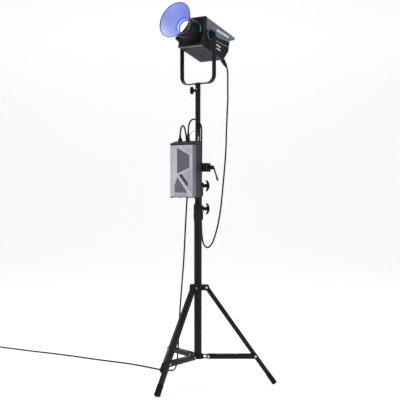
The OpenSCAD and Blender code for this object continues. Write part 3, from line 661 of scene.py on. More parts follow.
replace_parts(collar_piece("lower_collar_body", 743.5, 17.55, 14.3, 50.5, 61, 28, "column"), "lower_collar")
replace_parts(collar_piece("upper_collar_body", 852, 14.05, 12.3, 48, 58, 27.4, "riser_1"), "upper_collar")

# crescent-winged knobs
def crescent():
    o1 = []
    cx, R1 = 26 - 35, 35
    cx2, R2 = 14 - 45, 45
    a1 = math.degrees(math.asin(26.5 / R1))
    out = circle_pts(cx, 0, R1, 22, -a1, a1, True)
    a2 = math.degrees(math.asin(24.5 / R2))
    inn = circle_pts(cx2, 0, R2, 22, a2, -a2, True)
    return out + inn

def t_knob_piece(name, x, z, body, node):
    fr = ROW @ T(x, 0, z)
    parts = [lathe(name, rounded([(0, -8), (3.4, -8), (4, -7.2), (4, 0.4), (6.6, 0.4), (7.4, 2.2), (9, 4.4), (9, 13.5), (7.2, 15.4), (3.4, 15.4), (3.0, 14.8), (0, 14.8)], 0.6), fr @ ZX, m_knob, 48)]
    w = plate(name + "_wing", [crescent()], 11, fr, m_knob, 2.6, 4, RX(90))
    parts.append(w)
    # finger grooves on the back of each wing
    for s in (-1, 1):
        for k in range(3):
            zz = s * (13 + 4.0 * k)
            xx = -9 + math.sqrt(35 ** 2 - zz ** 2)
            parts.append(tube(name + "_rib", [(xx - 0.5, y, zz) for y in (-3.4, -1.7, 0, 1.7, 3.4)], [0.0003, 0.0006, 0.0007, 0.0006, 0.0003], m_knob, 8, True, fr))
    o = join(name, parts)
    return go(o, body, "knob_plastic", node)

t_knob_piece("lower_collar_wing_knob", 28.3, 804.5, "lower_knob", "lower_collar_knob")
t_knob_piece("upper_collar_wing_knob", 27.7, 910, "upper_knob", "upper_collar_knob")

# hub of the legs: clevis cheeks and central band
AZ = (240, 0, 120)
def hub_of_legs():
    parts = [lathe("leg_hub_body", rounded([(17.8, 430), (22.6, 430), (23.3, 432), (23.3, 436), (22.4, 437.5), (22.4, 449.5), (23.3, 451), (23.3, 455), (22.6, 457), (17.8, 457)], 0.5), ROW, m_cast, 64, closed=True)]
    for a in AZ:
        for s in (-1, 1):
            y0, y1 = (10.4, 14.4) if s > 0 else (-14.4, -10.4)
            pts = [(18.5, 430.6)] + [(46, 430.6)] + circle_pts(40, 443.7, 13.2, 18, -72, 62, True) + [(45, 456.6), (18.5, 456.6)]
            hole = circle_pts(40, 443.7, 3, 24)[::-1]
            parts.append(plate("cheek", [pts, hole], 4, ROW @ RZ(a), m_cast, 0.8, 3, T(0, (y0 + y1) / 2, 0) @ RX(90)))
            parts.append(box("gusset", (19, 9.5 * s - 0.6 if s > 0 else -14.2, 438.5), (27.5, 14.2 if s > 0 else -8.9, 448.9), ROW @ RZ(a), m_cast, 0.8, 2))
    b = box("lockboss", (18.5, -8, 430.5), (29, 8, 456.5), ROW @ RZ(60), m_cast, 1.6, 3)
    hole = cyl("lockhole", 4.1, 12, 60, ROW @ RZ(60), None, 0.0001, 32, T(0, 0, 443.7) @ ZX)
    hub = cyl("lockhub", 17.85, 400, 480, ROW, None, 0.0001, 64)
    boolean(b, [hole, hub]); shade(b, 30)
    parts.append(b)
    return join("leg_hub_casting", parts)
go(hub_of_legs(), "leg_hub", "black_metal", "leg_hub")

def bolts(name, R0, z, yh, body, node, slot="steel"):
    parts = []
    for a in AZ:
        fr = ROW @ RZ(a) @ T(R0, 0, z)
        parts.append(rivet(name, 4.2, 2.9, fr, m_steel, T(0, yh, 0) @ ZY))
        parts.append(rivet(name, 4.2, 2.9, fr, m_steel, T(0, -yh, 0) @ ZYN))
        parts.append(cyl(name, 2.95, -yh, yh, fr, m_steel, 0.1, 24, ZY))
    return go(join(name, parts), body, slot, node)
bolts("leg_hub_rivets", 40, 443.7, 14.4, "leg_hub", "leg_hub_bolts")
bolts("brace_hub_rivets", 48.9, 127.5, 14.1, "column", "brace_hub_bolts")

def lock_knob():
    fr = ROW @ RZ(60) @ T(29.3, 0, 443.7) @ ZX
    n = 96
    rows = [(-10.5, 4), (4, 4), (4.2, 8.5), (5.4, 10.6), (14.4, 10.8), (15.6, 9.6), (16, 8)]
    v, f = [], []
    for z, r in rows:
        for i in range(n):
            a = 2 * math.pi * i / n
            q = r - (1.5 * max(0.0, math.cos(6 * a)) ** 2 if r > 9 else 0)
            v.append((q * math.cos(a), q * math.sin(a), z))
    for j in range(len(rows) - 1):
        for i in range(n):
            f.append((j * n + i, j * n + (i + 1) % n, (j + 1) * n + (i + 1) % n, (j + 1) * n + i))
    f += [tuple(range(n))[::-1], tuple((len(rows) - 1) * n + i for i in range(n))]
    o = raw("leg_lock_knob_piece", v, f, fr, m_knob, True, 30)
    c = lathe("lkcap", rounded([(0, 15.6), (5.5, 15.6), (5.5, 16.0), (0, 16.0)], 0.15), fr, m_knob, 32)
    return join("leg_lock_knob_piece", [o, c])
go(lock_knob(), "leg_lock", "knob_plastic", "leg_lock_knob")

# hub of the braces
def hub_of_braces():
    parts = [lathe("bh", rounded([(8, 116), (21.8, 116), (23, 117.5), (23, 121), (22.2, 122), (22.2, 134), (23, 135), (23, 138.6), (22, 140), (17.6, 140), (17.6, 124), (8, 124)], 0.5), ROW, m_cast, 64, closed=True)]
    for a in AZ:
        fr = ROW @ RZ(a)
        outer = [(20.5, 117.6)] + circle_pts(48.9, 127.5, 9.9, 18, -90, 90, True) + [(20.5, 137.4)]
        hole = circle_pts(48.9, 127.5, 3.0, 24)[::-1]
        slot_ = round_poly([(26, 121.8), (39, 121.8), (39, 133.2), (26, 133.2)], 2.0)[::-1]
        parts.append(plate("lug", [outer, hole, slot_], 20.6, fr, m_cast, 1.0, 3, RX(90)))
    return join("brace_hub_casting", parts)
go(hub_of_braces(), "column", "black_metal", "brace_hub")

# legs: square extrusion with two shallow grooves on each face
def leg_section(w, r, gd, gw, gx):
    q = []
    side = []
    h = w / 2
    arc = circle_pts(h - r, h - r, r, 5, 0, 90, True)
    face = []
    for x in (gx, -gx):
        s = 1
        face += [(x + gw / 2 + 0.5, h), (x + gw / 2, h - gd), (x - gw / 2, h - gd), (x - gw / 2 - 0.5, h)]
    unit_side = arc + face
    for k in range(4):
        c, s = math.cos(math.pi / 2 * k), math.sin(math.pi / 2 * k)
        q += [(x * c - y * s, x * s + y * c) for x, y in unit_side]
    return q
def leg_pieces(i, nm):
    fr = ROW @ RZ(AZ[i]) @ T(40, 0, 443.7) @ RY(180 - 35.4)
    sec = leg_section(20, 2.6, 0.55, 2.2, 4.0)
    inner = rrect_pts(0, 0, 16.6, 16.6, 1.6)[::-1]
    o = plate("leg_%s_tube" % nm, [sec, inner], 519, fr, m_tube, 0.25, 1, T(0, 0, -9 + 259.5))
    hole = cyl("lh", 3.06, -30, 30, fr, None, 0.0001, 32, ZY)
    hole2 = cyl("lh2", 3.06, -30, 30, fr, None, 0.0001, 32, T(0, 0, 387.7) @ ZY)
    boolean(o, [hole]); shade(o, 25)
    cap = plate("lcap", [rrect_pts(0, 0, 19.4, 19.4, 3)], 2.0, fr, m_collar, 0.6, 2, T(0, 0, -9.6))
    ins = plate("lins", [rrect_pts(0, 0, 16.4, 16.4, 1.6)], 4.0, fr, m_collar, 0.4, 2, T(0, 0, -6.8))
    hub = rivet("lpin", 3.0, 2.0, fr, m_steel, T(0, 10.0, 387.7) @ ZY, False)
    o = join("leg_%s_tube" % nm, [o, ins])
    for q in (cap, hub, hole2): bpy.data.objects.remove(q, do_unlink=True)
    go(o, "leg_%s" % nm, "black_metal", "leg_%s" % nm)
    # foot: ribbed rubber boot, cut level with the floor
    parts = []
    v, f = [], []
    rows = [(486, 19.9, 19.4, 2.6), (486, 21.4, 21.4, 3.2), (487.0, 22.2, 22.2, 3.5)]
    z = 490
    for k in range(5):
        rows += [(z, 22.8, 22.8, 3.6), (z + 4.4, 22.8, 22.8, 3.6), (z + 4.9, 22.0, 22.0, 3.3), (z + 6.4, 22.0, 22.0, 3.3)]
        z += 7.0
    rows += [(z, 22.8, 22.8, 3.6), (538.8, 22.8, 22.8, 3.6), (540, 21.6, 21.6, 3.2)]
    cnt = None
    for zz, w, h, r in rows:
        ring = rrect_pts(0, 0, w, h, r, 5)
        cnt = len(ring)
        v += [(x, y, zz) for x, y in ring]
    for j in range(len(rows) - 1):
        for k in range(cnt):
            f.append((j * cnt + k, j * cnt + (k + 1) % cnt, (j + 1) * cnt + (k + 1) % cnt, (j + 1) * cnt + k))
    f += [tuple(range(cnt))[::-1], tuple((len(rows) - 1) * cnt + k for k in range(cnt))]
    ft = raw("foot_%s_boot" % nm, v, f, fr, m_foot, True, 30)
    floor_cut = box("fc", (200, -60, -40), (500, 60, 0), ROW @ RZ(AZ[i]))
    sock = plate("fs", [rrect_pts(0, 0, 20.0, 20.0, 3)], 30, fr, None, 0.01, 1, T(0, 0, 480 + 15))
    boolean(ft, [floor_cut, sock]); shade(ft, 28)
    go(ft, "leg_%s" % nm, "rubber_foot", "foot_%s" % nm)

def brace_piece(i, nm):
    fr = ROW @ RZ(AZ[i]) @ T(48.9, 0, 127.5)
    L = 215.5
    out = circle_pts(L, 0, 11, 20, -90, 90, True) + circle_pts(0, 0, 11, 20, 90, 270, True)
    h1, h2 = circle_pts(0, 0, 3.06, 24)[::-1], circle_pts(L, 0, 3.06, 24)[::-1]
    parts = []
    for s in (-1, 1):
        yc = s * 12.3
        parts.append(plate("bp", [out, h1, h2], 3, fr, m_tube, 0.7, 3, T(0, yc, 0) @ RX(90)))
        # pressed rib along the strap
        rib = rrect_pts(L / 2, 0, L - 62, 7, 3.4, 6)
        parts.append(plate("br", [rib], 1.0, fr, m_tube, 0.42, 3, T(0, s * 13.75, 0) @ RX(90)))
        parts.append(rivet("brv", 4.0, 2.2, fr, m_steel, T(L, s * 13.8, 0) @ (ZY if s > 0 else ZYN), True))
    web = plate("bw", [round_poly([(32, -11), (134, -11), (134, 11), (32, 11)], 3), circle_pts(50, 0, 4, 20)[::-1], circle_pts(83, 0, 4, 20)[::-1], circle_pts(116, 0, 4, 20)[::-1]], 2, fr, m_tube, 0.5, 2, T(0, 0, 10))
    parts.append(web)
    go(join("brace_%s_strap" % nm, parts), "brace_%s" % nm, "black_metal", "brace_%s" % nm)

for i, nm in enumerate("abc"):
    leg_pieces(i, nm)
    brace_piece(i, nm)

# =================================================================== YOKE
def yoke_piece():
    zt = 1597.3
    outer = [(94.9, zt)] + circle_pts(56.9, 1413.5, 38, 20, 0, -90, True) + circle_pts(-56.9, 1413.5, 38, 20, -90, -180, True) + [(-94.9, zt)]
    inner = [(-90.4, zt)] + circle_pts(-56.4, 1414, 34, 20, 180, 270, True) + circle_pts(56.4, 1414, 34, 20, 270, 360, True) + [(90.4, zt)]
    parts = [plate("yk", [outer + inner], 26, YOKE, m_tube, 1.1, 3, RX(90))]
    for s in (-1, 1):
        parts.append(cyl("yk_eye", 13, -2.25, 2.25, YOKE, m_tube, 1.0, 64, T(s * 92.65, 0, zt) @ ZX))
        # stiffening bead pressed along the arm
        parts.append(plate("yk_bead", [rrect_pts(0, 1500, 7, 118, 3.4, 8)], 0.9, YOKE, m_tube, 0.4, 3, T(s * 95.0, 0, 0) @ RZ(90) @ RX(90)))
        parts.append(torus("yk_ring", 9.0, 0.7, YOKE, m_tube, 48, 8, T(s * 94.8, 0, zt) @ ZX))
    # doubler where the receiver is bolted on
    parts.append(plate("yk_pad", [rrect_pts(0, 0, 46, 22, 4, 6)], 1.6, YOKE, m_tube, 0.6, 3, T(0, 0, 1380.6)))
    return join("yoke_bow", parts)
go(yoke_piece(), "yoke", "black_metal", "yoke")

def receiver_piece():
    parts = [lathe("rc", rounded([(8.06, 1329.4), (11.4, 1329.4), (12.2, 1330.6), (12.2, 1336), (11.5, 1337), (11.5, 1339), (12.2, 1340), (12.2, 1362), (11.4, 1363), (11.4, 1366), (12.2, 1367), (12.2, 1374), (11.2, 1375.4), (8.06, 1375.4), (8.06, 1329.4)], 0.4), YOKE, m_cast, 64)]
    parts.append(hexbolt("rc_nut", 11.4, 4.6, YOKE, m_steel, T(0, 0, 1381.4)))
    parts.append(cyl("rc_stud", 3.6, 1368, 1386.6, YOKE, m_steel, 0.5, 24))
    b = cyl("rc_boss", 7.5, 11.0, 15.5, ROW, m_cast, 0.8, 48, T(0, 0, 1347) @ ZXN)
    h = cyl("rc_hole", 3.6, 5, 25, ROW, None, 0.0001, 24, T(0, 0, 1347) @ ZXN)
    boolean(b, [h]); shade(b, 30)
    parts.append(b)
    parts.append(rivet("rc_stop", 2.4, 1.6, YOKE, m_steel, T(0, -11.9, 1352) @ ZYN, False))
    return join("receiver_socket", parts)
go(receiver_piece(), "yoke", "black_metal", "receiver")

def receiver_knob_piece():
    fr = ROW @ T(-15.8, 0, 1347)
    parts = [lathe("rk", rounded([(0, -7), (3.0, -7), (3.5, -6.4), (3.5, 0.2), (6.2, 0.6), (7, 1.6), (7, 8.4), (6.4, 9), (0, 9)], 0.4), fr @ ZXN, m_knob, 48)]
    w = plate("rkw", [rrect_pts(0, 0, 18, 35, 8.9, 10)], 12, fr, m_knob, 3.0, 4, T(-12, 0, 0) @ RX(90))
    parts.append(w)
    for s in (-1, 1):
        for k in range(4):
            zz = s * (5 + 3.2 * k)
            parts.append(tube("rkr", [(-12 + x, -5.7, zz) for x in (-6, -3, 0, 3, 6)], [0.0003, 0.0006, 0.0007, 0.0006, 0.0003], m_knob, 8, True, fr))
    return join("receiver_wing_knob", parts)
go(receiver_knob_piece(), "receiver_knob", "knob_plastic", "receiver_knob")

# =================================================================== HEAD
HW = 65.314      # half width as drawn
HB = 67.6        # half width as built
def side_plane(s):      # local x -> head y (back), local y -> head z, local z -> outwards
    if s > 0: return Matrix(((0, 0, 1, HW), (1, 0, 0, 0), (0, 1, 0, 0), (0, 0, 0, 1)))
    return Matrix(((0, 0, -1, -HW), (-1, 0, 0, 0), (0, 1, 0, 0), (0, 0, 0, 1)))
# on the left side local x runs towards the front, so polygons there use -y
def sp_pts(s, pts): return [(y if s > 0 else -y, z) for y, z in pts]

LOW = [(-24.2, -67), (127.2, -67), (152, -15), (147, 33.4), (143, 31), (55, 13), (-24.2, 14)]
def shrink(poly, d):
    """inward offset of a polygon given in order"""
    P = np.array(poly, float)
    n = len(P)
    area = 0.5 * sum(P[i][0] * P[(i + 1) % n][1] - P[(i + 1) % n][0] * P[i][1] for i in range(n))
    sg = 1 if area > 0 else -1
    out = []
    for i in range(n):
        a, b, c = P[i - 1], P[i], P[(i + 1) % n]
        u = (b - a) / np.linalg.norm(b - a); v = (c - b) / np.linalg.norm(c - b)
        n1 = sg * np.array([-u[1], u[0]]); n2 = sg * np.array([-v[1], v[0]])
        k = n1 + n2
        out.append(tuple(b + d * k / max(1 + n1 @ n2, 0.25)))
    return out

def side_cut(name, poly, depth, r=2.0, s=1):
    pts = round_poly(sp_pts(s, poly), r)
    return plate(name, [pts], depth + 4, BODY, None, 0.01, 1, side_plane(s) @ T(0, 0, 2 - depth / 2))

def lower_shell():
    o = prism_x("head_shell_piece", LOW, -HW, HW, BODY, m_head, 2.2, 4)
    cut = [prism_x("c", [(-30, -64.5), (125.5, -64.5), (149, -15), (144.5, 29), (142, 29), (55, 11), (-30, 11)], -HW + 2.8, HW - 2.8, BODY, None)]
    for s in (-1, 1):
        # panel lines: long tapering field behind the arm, tall recess ahead of it
        cut.append(side_cut("c", [(24, -60), (120, -60), (142, -14), (138.5, 21), (58, 5), (24, 5)], 0.9, 4, s))
        cut.append(side_cut("c", [(-17, -61), (-6, -61), (-6, -25), (-17, -25)], 1.8, 1.5, s))
        cut.append(cyl("c", 14.2, 3.2, 12, BODY, None, 0.001, 48, T(s * (HW - 6.5), 0, 0) @ (ZX if s > 0 else ZXN)))
    # slanted vents of the underside
    rect = [(-54, -14), (54, -14), (54, 118), (-54, 118)]
    vents = bars("c", clip_segs(rect, 38, 9.6, 3.0), 3.0, 12, BODY @ T(0, 0, -72), None, 0.0, 1.0)
    cut.append(vents)
    boolean(o, cut); shade(o, 30)
    parts = [o]
    # ribs between the vents, and the frame round them
    parts.append(bars("hs_rib", clip_segs(rect, 38, 9.6, 3.0, 4.8), 2.0, 0.9, BODY @ RX(180) @ T(0, 0, 66.9) @ Matrix.Scale(-1, 4, (0, 1, 0)), m_rib))
    for s in (-1, 1):
        fr = BODY @ side_plane(s)
        # raised rule and a row of blank tabs low on the side
        seg = sp_pts(s, [(36, -8), (139, 3)])
        parts.append(bars("hs_rule", [tuple(seg)], 1.0, 0.5, fr, m_mark, -0.85))
        for (y0, z0, w, h) in ((40, -22, 13, 6.2), (58, -21, 34, 5.4), (50, -36, 12, 6.2), (67, -35.4, 27, 5.0)):
            parts.append(plate("hs_tab", [rrect_pts((y0 + w / 2) * (1 if s > 0 else -1), z0, w, h, 1.2, 4)], 0.9, fr, m_mark, 0.25, 2, T(0, 0, -0.6)))
        # screws at the corners of the field
        for (y, z) in ((-12.5, -18.5), (-12.5, 6)):
            parts.append(rivet("hs_scr", 2.2, 1.0, fr, m_ringblack, T(y if s > 0 else -y, z, -0.2), False))
        # dark liner of the tall recess, with three slots' lips
        parts.append(plate("hs_liner", [rrect_pts(-11.5 * (1 if s > 0 else -1), -43, 10.2, 35, 1.2, 4)], 0.6, fr, m_dark, 0.1, 1, T(0, 0, -1.55)))
        for k in range(5):
            parts.append(bars("hs_lip", [tuple(sp_pts(s, [(-16, -57 + 7 * k), (-7, -57 + 7 * k)]))], 1.2, 0.7, fr, m_head, -1.4))
    # rear grille: louvres under the overhang of the cover
    for k in range(8):
        t = (k + 0.7) / 8.4
        y = 127.2 + (152 - 127.2) * t; z = -67 + 52 * t
        parts.append(box("hs_louvre", (-44, -1.1, -0.4), (44, 1.1, 1.6), BODY, m_head, 0.5, 2, T(0, y - 0.2, z) @ RX(-25.5)))
    for k in range(6):
        z = -9 + 7 * k
        y = 152 - (z + 15) * 0.1
        parts.append(box("hs_louvre", (-44, -1.1, -1.1), (44, 0.9, 1.1), BODY, m_head, 0.5, 2, T(0, y - 0.7, z)))
    return join("head_shell_piece", parts)
go(lower_shell(), "head", "head_dark", "head_shell")

COV = [(-24.2, 14), (55, 13), (143, 31), (181, 54.8), (181, 66), (176, 70.6), (-39.2, 70.6)]
def cover():
    o = prism_x("top_cover_piece", COV, -HW, HW, BODY, m_grey)
    cut = []
    for s in (-1, 1):
        cut.append(box("c", (-4.5, -300, -4.5), (4.5, 300, 4.5), BODY, None, 0, 1, T(s * HW, 0, 70.6) @ RY(45)))
    boolean(o, cut)
    o.data.materials.clear()
    for q in (m_grey, m_silver_trim_and_highlight, m_head): o.data.materials.append(q)
    bevel(o, 0.7, 2)
    cut = [prism_x("c", [(-50, 68.1), (-22, 10), (55, 9), (141, 26), (143, 34), (178.5, 57.2), (178.5, 64.5), (175, 68.1)], -HW + 2.8, HW - 2.8, BODY, None)]
    for s in (-1, 1):
        cut.append(side_cut("c", [(-18, 19), (54, 18), (141.5, 36), (172.5, 55.5), (172.5, 58.8), (170.5, 60.0), (-29, 60.0)], 0.8, 2.0, s))
        cut.append(cyl("c", 14.2, 3.2, 12, BODY, None, 0.001, 48, T(s * (HW - 6.5), 0, 0) @ (ZX if s > 0 else ZXN)))
    boolean(o, cut)
    # finish of each face: sides' upper rim and front rim light silver, chamfer light silver as a painted highlight
    # along the top edge, top dark, field grey
    inv = BODY.inverted()
    rot = inv.to_3x3().normalized()
    idx = []
    for p in o.data.polygons:
        c = inv @ p.center; nrm = (rot @ p.normal).normalized()
        k = 0
        # chamfer faces take the light silver: a painted highlight along the top edge
        if abs(nrm.x) > 0.5 and abs(nrm.z) > 0.4: k = 1
        elif abs(nrm.x) > 0.9 and abs(c.x) > HW - 0.3 and (c.z > 57 or c.y < -16): k = 1
        elif nrm.z > 0.7: k = 2
        elif nrm.z < -0.3: k = 2
        elif nrm.y > 0.5: k = 0
        idx.append(k)
    o.data.polygons.foreach_set("material_index", idx)
    shade(o, 30)
    parts = [o]
    for s in (-1, 1):
        fr = BODY @ side_plane(s)
        # a row of plain raised tabs on the field, unlettered
        x0 = 44
        for (w, h, dz) in ((17, 11.5, 0), (11, 11.5, 0), (14, 11.5, 0), (24, 9.5, 0.2), (11, 11.5, 0)):
            yc = x0 + w / 2; zc = 41.5 + dz + (yc - 44) * 0.06
            parts.append(plate("tc_tab", [rrect_pts(yc * (1 if s > 0 else -1), zc, w, h, 1.6, 4)], 0.7, fr, m_mark, 0.2, 2, T(0, 0, -0.55)))
            x0 += w + 3.5
        strip = [(-36.5, 62.4), (176.5, 62.4), (175.0, 66.0), (-37.5, 66.0)]
        parts.append(plate("tc_strip", [round_poly(sp_pts(s, strip), 0.8, 2)], 0.7, fr, m_silver_trim_and_highlight, 0.2, 2, T(0, 0, -0.1)))
        for (y, z) in ((-8, 54), (158, 54)):
            parts.append(rivet("tc_scr", 2.0, 0.9, fr, m_silver_trim_and_highlight, T(y if s > 0 else -y, z, -0.75), False))
    # vents across the top
    for k in range(9):
        parts.append(box("tc_rib", (-40, -1.6, -0.5), (40, 1.6, 1.1), BODY, m_head, 0.6, 2, T(0, 20 + 11 * k, 70.3)) if k != 4 else
                     plate("tc_plate", [rrect_pts(0, 64, 70, 8, 3, 5)], 1.2, BODY, m_head, 0.4, 2, T(0, 0, 70.6)))
    return join("top_cover_piece", parts)
go(cover(), "head", "head_grey", "top_cover")

def trim():
    parts = []
    for s in (-1, 1):
        fr = BODY @ side_plane(s)
        pts = sp_pts(s, [(55, 10.5), (142.6, 28.4), (143, 33.4), (55, 15.5)])
        if s < 0: pts = pts[::-1]
        parts.append(plate("tr", [round_poly(pts, 1.2, 3)], 1.3, fr, m_blue, 0.35, 2, T(0, 0, 0.15)))
        parts.append(lathe("trr", rounded([(23.25, 0), (25, 0), (25, 4), (23.25, 4), (23.25, 0)], 0.5), HEAD @ T(s * 73.5, 0, 0) @ (ZX if s > 0 else ZXN), m_blue, 96))
    return join("blue_trim_piece", parts)
go(trim(), "head", "blue_accent", "blue_trim")

def bezel():
    o = prism_x("front_bezel_piece", [(-43.3, -67), (-43.3, 70.6), (-39.2, 70.6), (-24.2, 14), (-24.2, -67)], -HW, HW, BODY, m_bezel)
    cut = []
    for s in (-1, 1):
        cut.append(box("c", (-3.5, -100, -3.5), (3.5, 100, 3.5), BODY, None, 0, 1, T(s * HW, 0, 70.6) @ RY(45)))
    boolean(o, cut)
    bevel(o, 1.6, 3)
    FR = BODY @ RX(90)            # x right, y up, z forward
    cut = [plate("c", [rrect_pts(0, 1.8, 113, 120, 5, 6)], 6, FR, None, 0.01, 1, T(0, 0, 43.3 - 2.4 + 3)),
           plate("c", [rrect_pts(0, 0, 118.6, 122, 3, 4)], 22, FR, None, 0.01, 1, T(0, 0, 37.0 - 11)),
           cyl("c", 43.1, -10, 70, FR, None, 0.001, 96)]
    boolean(o, cut); shade(o, 30)
    parts = [o]
    # raised ring seat and corner screws, and a lip under the face
    parts.append(lathe("bz_seat", rounded([(50.6, 40.6), (56.5, 40.6), (57.6, 41.6), (57.0, 42.6), (50.6, 42.9)], 0.4), FR, m_bezel, 96))
    for x in (-50, 50):
        for y in (-51, 54.6):
            parts.append(rivet("bz_scr", 2.4, 1.2, FR, m_ringblack, T(x, y, 40.8), False))
    parts.append(box("bz_lip", (-HW + 3, -0.8, -0.7), (HW - 3, 0.8, 0.7), BODY, m_silver_trim_and_highlight, 0.4, 2, T(0, -35.5, -66.7)))
    for s in (-1, 1):
        parts.append(bars("bz_line", [tuple(sp_pts(s, [(-28.5, -62), (-28.5, 9)]))], 1.1, 0.4, BODY @ side_plane(s), m_bezel, 0.0))
    return join("front_bezel_piece", parts)
go(bezel(), "head", "head_dark", "front_bezel")

def ring():
    pr = [(50, 43.3), (50, 45.2), (49.4, 45.6), (49.4, 46.6), (50, 47), (50, 54), (49.3, 54.6), (49.3, 56), (50, 56.6), (50, 59.8), (48.5, 62), (44.6, 62), (44.6, 52.2), (46, 50.5), (46, 47), (43.5, 47), (43.5, 43.3)]
    o = lathe("mount_ring_piece", [(r, z) for r, z in pr], OPT, m_ringblack, 128, closed=True, angle=28)
    parts = [o]
    for k in range(48):
        a = 360 * k / 48
        if -12 < ((a + 180) % 360) - 180 < 56: continue
        parts.append(box("mr_rib", (49.6, -0.8, 47.6), (50.25, 0.8, 53.4), OPT @ RZ(a), m_ringblack, 0.2, 1))
    return join("mount_ring_piece", parts)
go(ring(), "head", "black_metal", "mount_ring")

def latch():
    fr = OPT @ RZ(-8)
    v = []
    N = 40
    sec = rounded([(50.35, 47.5), (53.2, 47.9), (53.25, 53.1), (50.35, 53.5)], 0.6)
    sec = [(50.35, 47.6)] + [(52.7, 47.5), (53.1, 47.8), (53.3, 48.4), (53.3, 52.6), (53.1, 53.2), (52.7, 53.5)] + [(50.35, 53.4)]
    f = []
    for i in range(N + 1):
        a = math.radians(50 * i / N)
        for r, z in sec:
            e = min(i, N - i)
            rr = 50.35 + (r - 50.35) * (0.75 if e == 0 else 0.95 if e == 1 else 1.0)
            v.append((rr * math.cos(a), rr * math.sin(a), z))
    m_ = len(sec)
    for i in range(N):
        for j in range(m_):
            f.append((i * m_ + j, i * m_ + (j + 1) % m_, (i + 1) * m_ + (j + 1) % m_, (i + 1) * m_ + j))
    f += [tuple(range(m_))[::-1], tuple(N * m_ + j for j in range(m_))]
    o = raw("mount_latch_piece", v, f, fr, [m_blue, m_ringblack], True, 30)
    inv = fr.inverted()
    o.data.polygons.foreach_set("material_index", [1 if math.degrees(math.atan2((inv @ p.center).y, (inv @ p.center).x)) > 32 else 0 for p in o.data.polygons])
    return o
go(latch(), "mount_latch", "blue_accent", "mount_latch")

# dome over the lamp: glows
md = bpy.data.materials.new("dome_glow"); md.use_nodes = True
nt = md.node_tree; nt.nodes.clear()
o_ = nt.nodes.new("ShaderNodeOutputMaterial"); e_ = nt.nodes.new("ShaderNodeEmission"); p_ = nt.nodes.new("ShaderNodeBsdfPrincipled"); a_ = nt.nodes.new("ShaderNodeAddShader")
tc_ = nt.nodes.new("ShaderNodeTexCoord"); n_ = nt.nodes.new("ShaderNodeTexNoise"); n_.inputs["Scale"].default_value = 40
nt.links.new(tc_.outputs["Object"], n_.inputs["Vector"])
mx_ = nt.nodes.new("ShaderNodeMix"); mx_.data_type = "RGBA"; mx_.inputs["A"].default_value = srgb("#e6edff"); mx_.inputs["B"].default_value = srgb("#ffffff")
nt.links.new(n_.outputs["Fac"], mx_.inputs["Factor"]); nt.links.new(mx_.outputs["Result"], e_.inputs["Color"])
e_.inputs["Strength"].default_value = 1.6
nt.links.new(mx_.outputs["Result"], p_.inputs["Base Color"]); p_.inputs["Roughness"].default_value = 0.3
nt.links.new(p_.outputs[0], a_.inputs[0]); nt.links.new(e_.outputs[0], a_.inputs[1]); nt.links.new(a_.outputs[0], o_.inputs[0])
m_glow = md

def dome():
    pr = [(42.5, 34.1), (42.5, 36.9), (33.2, 37), (31.9, 38), (31.5, 40), (31.5, 84)] + [(31.5 * math.cos(math.radians(t)), 84 + 19 * math.sin(math.radians(t))) for t in range(6, 90, 6)] + [(0, 103)]
    pi = [(0, 100.6)] + [(29.1 * math.cos(math.radians(t)), 84 + 16.6 * math.sin(math.radians(t))) for t in range(84, 0, -6)] + [(29.1, 84), (29.1, 34.1), (42.5, 34.1)]
    return lathe("glass_dome_piece", pr + pi, OPT, m_glow, 96)
go(dome(), "head", "glass_frost", "glass_dome")

# reflector: bowl with rows of pressed dimples inside
# inside of the reflector: a painted glow of the lamp's bluish light, blue at the throat and paler outwards along the
# bowl's depth, with a faint emission
mr = bpy.data.materials.new("reflector_inside_painted_glow"); mr.use_nodes = True
nt = mr.node_tree; nt.nodes.clear()
o_ = nt.nodes.new("ShaderNodeOutputMaterial"); p_ = nt.nodes.new("ShaderNodeBsdfPrincipled"); nt.links.new(p_.outputs[0], o_.inputs[0])
at = nt.nodes.new("ShaderNodeAttribute"); at.attribute_name = "depth"; at.attribute_type = "GEOMETRY"
cr = nt.nodes.new("ShaderNodeValToRGB")
cr.color_ramp.elements[0].position = 0.0; cr.color_ramp.elements[0].color = srgb("#3f5fe4")
cr.color_ramp.elements[1].position = 1.0; cr.color_ramp.elements[1].color = srgb("#d0d6f2")
e2 = cr.color_ramp.elements.new(0.07); e2.color = srgb("#8e9eee")
e3 = cr.color_ramp.elements.new(0.20); e3.color = srgb("#bac4f1")
e4 = cr.color_ramp.elements.new(0.60); e4.color = srgb("#c6cef2")
nt.links.new(at.outputs["Fac"], cr.inputs["Fac"])
tc_ = nt.nodes.new("ShaderNodeTexCoord"); n_ = nt.nodes.new("ShaderNodeTexNoise"); n_.inputs["Scale"].default_value = 22; n_.inputs["Detail"].default_value = 4
nt.links.new(tc_.outputs["Object"], n_.inputs["Vector"])
mm = nt.nodes.new("ShaderNodeMix"); mm.data_type = "RGBA"; mm.blend_type = "MULTIPLY"; mm.inputs["Factor"].default_value = 0.25
nt.links.new(cr.outputs["Color"], mm.inputs["A"])
gr = nt.nodes.new("ShaderNodeMix"); gr.data_type = "RGBA"; gr.inputs["A"].default_value = (0.75, 0.78, 0.95, 1); gr.inputs["B"].default_value = (1, 1, 1, 1)
nt.links.new(n_.outputs["Fac"], gr.inputs["Factor"]); nt.links.new(gr.outputs["Result"], mm.inputs["B"])
sx = nt.nodes.new("ShaderNodeSeparateXYZ"); nt.links.new(tc_.outputs["Object"], sx.inputs[0])
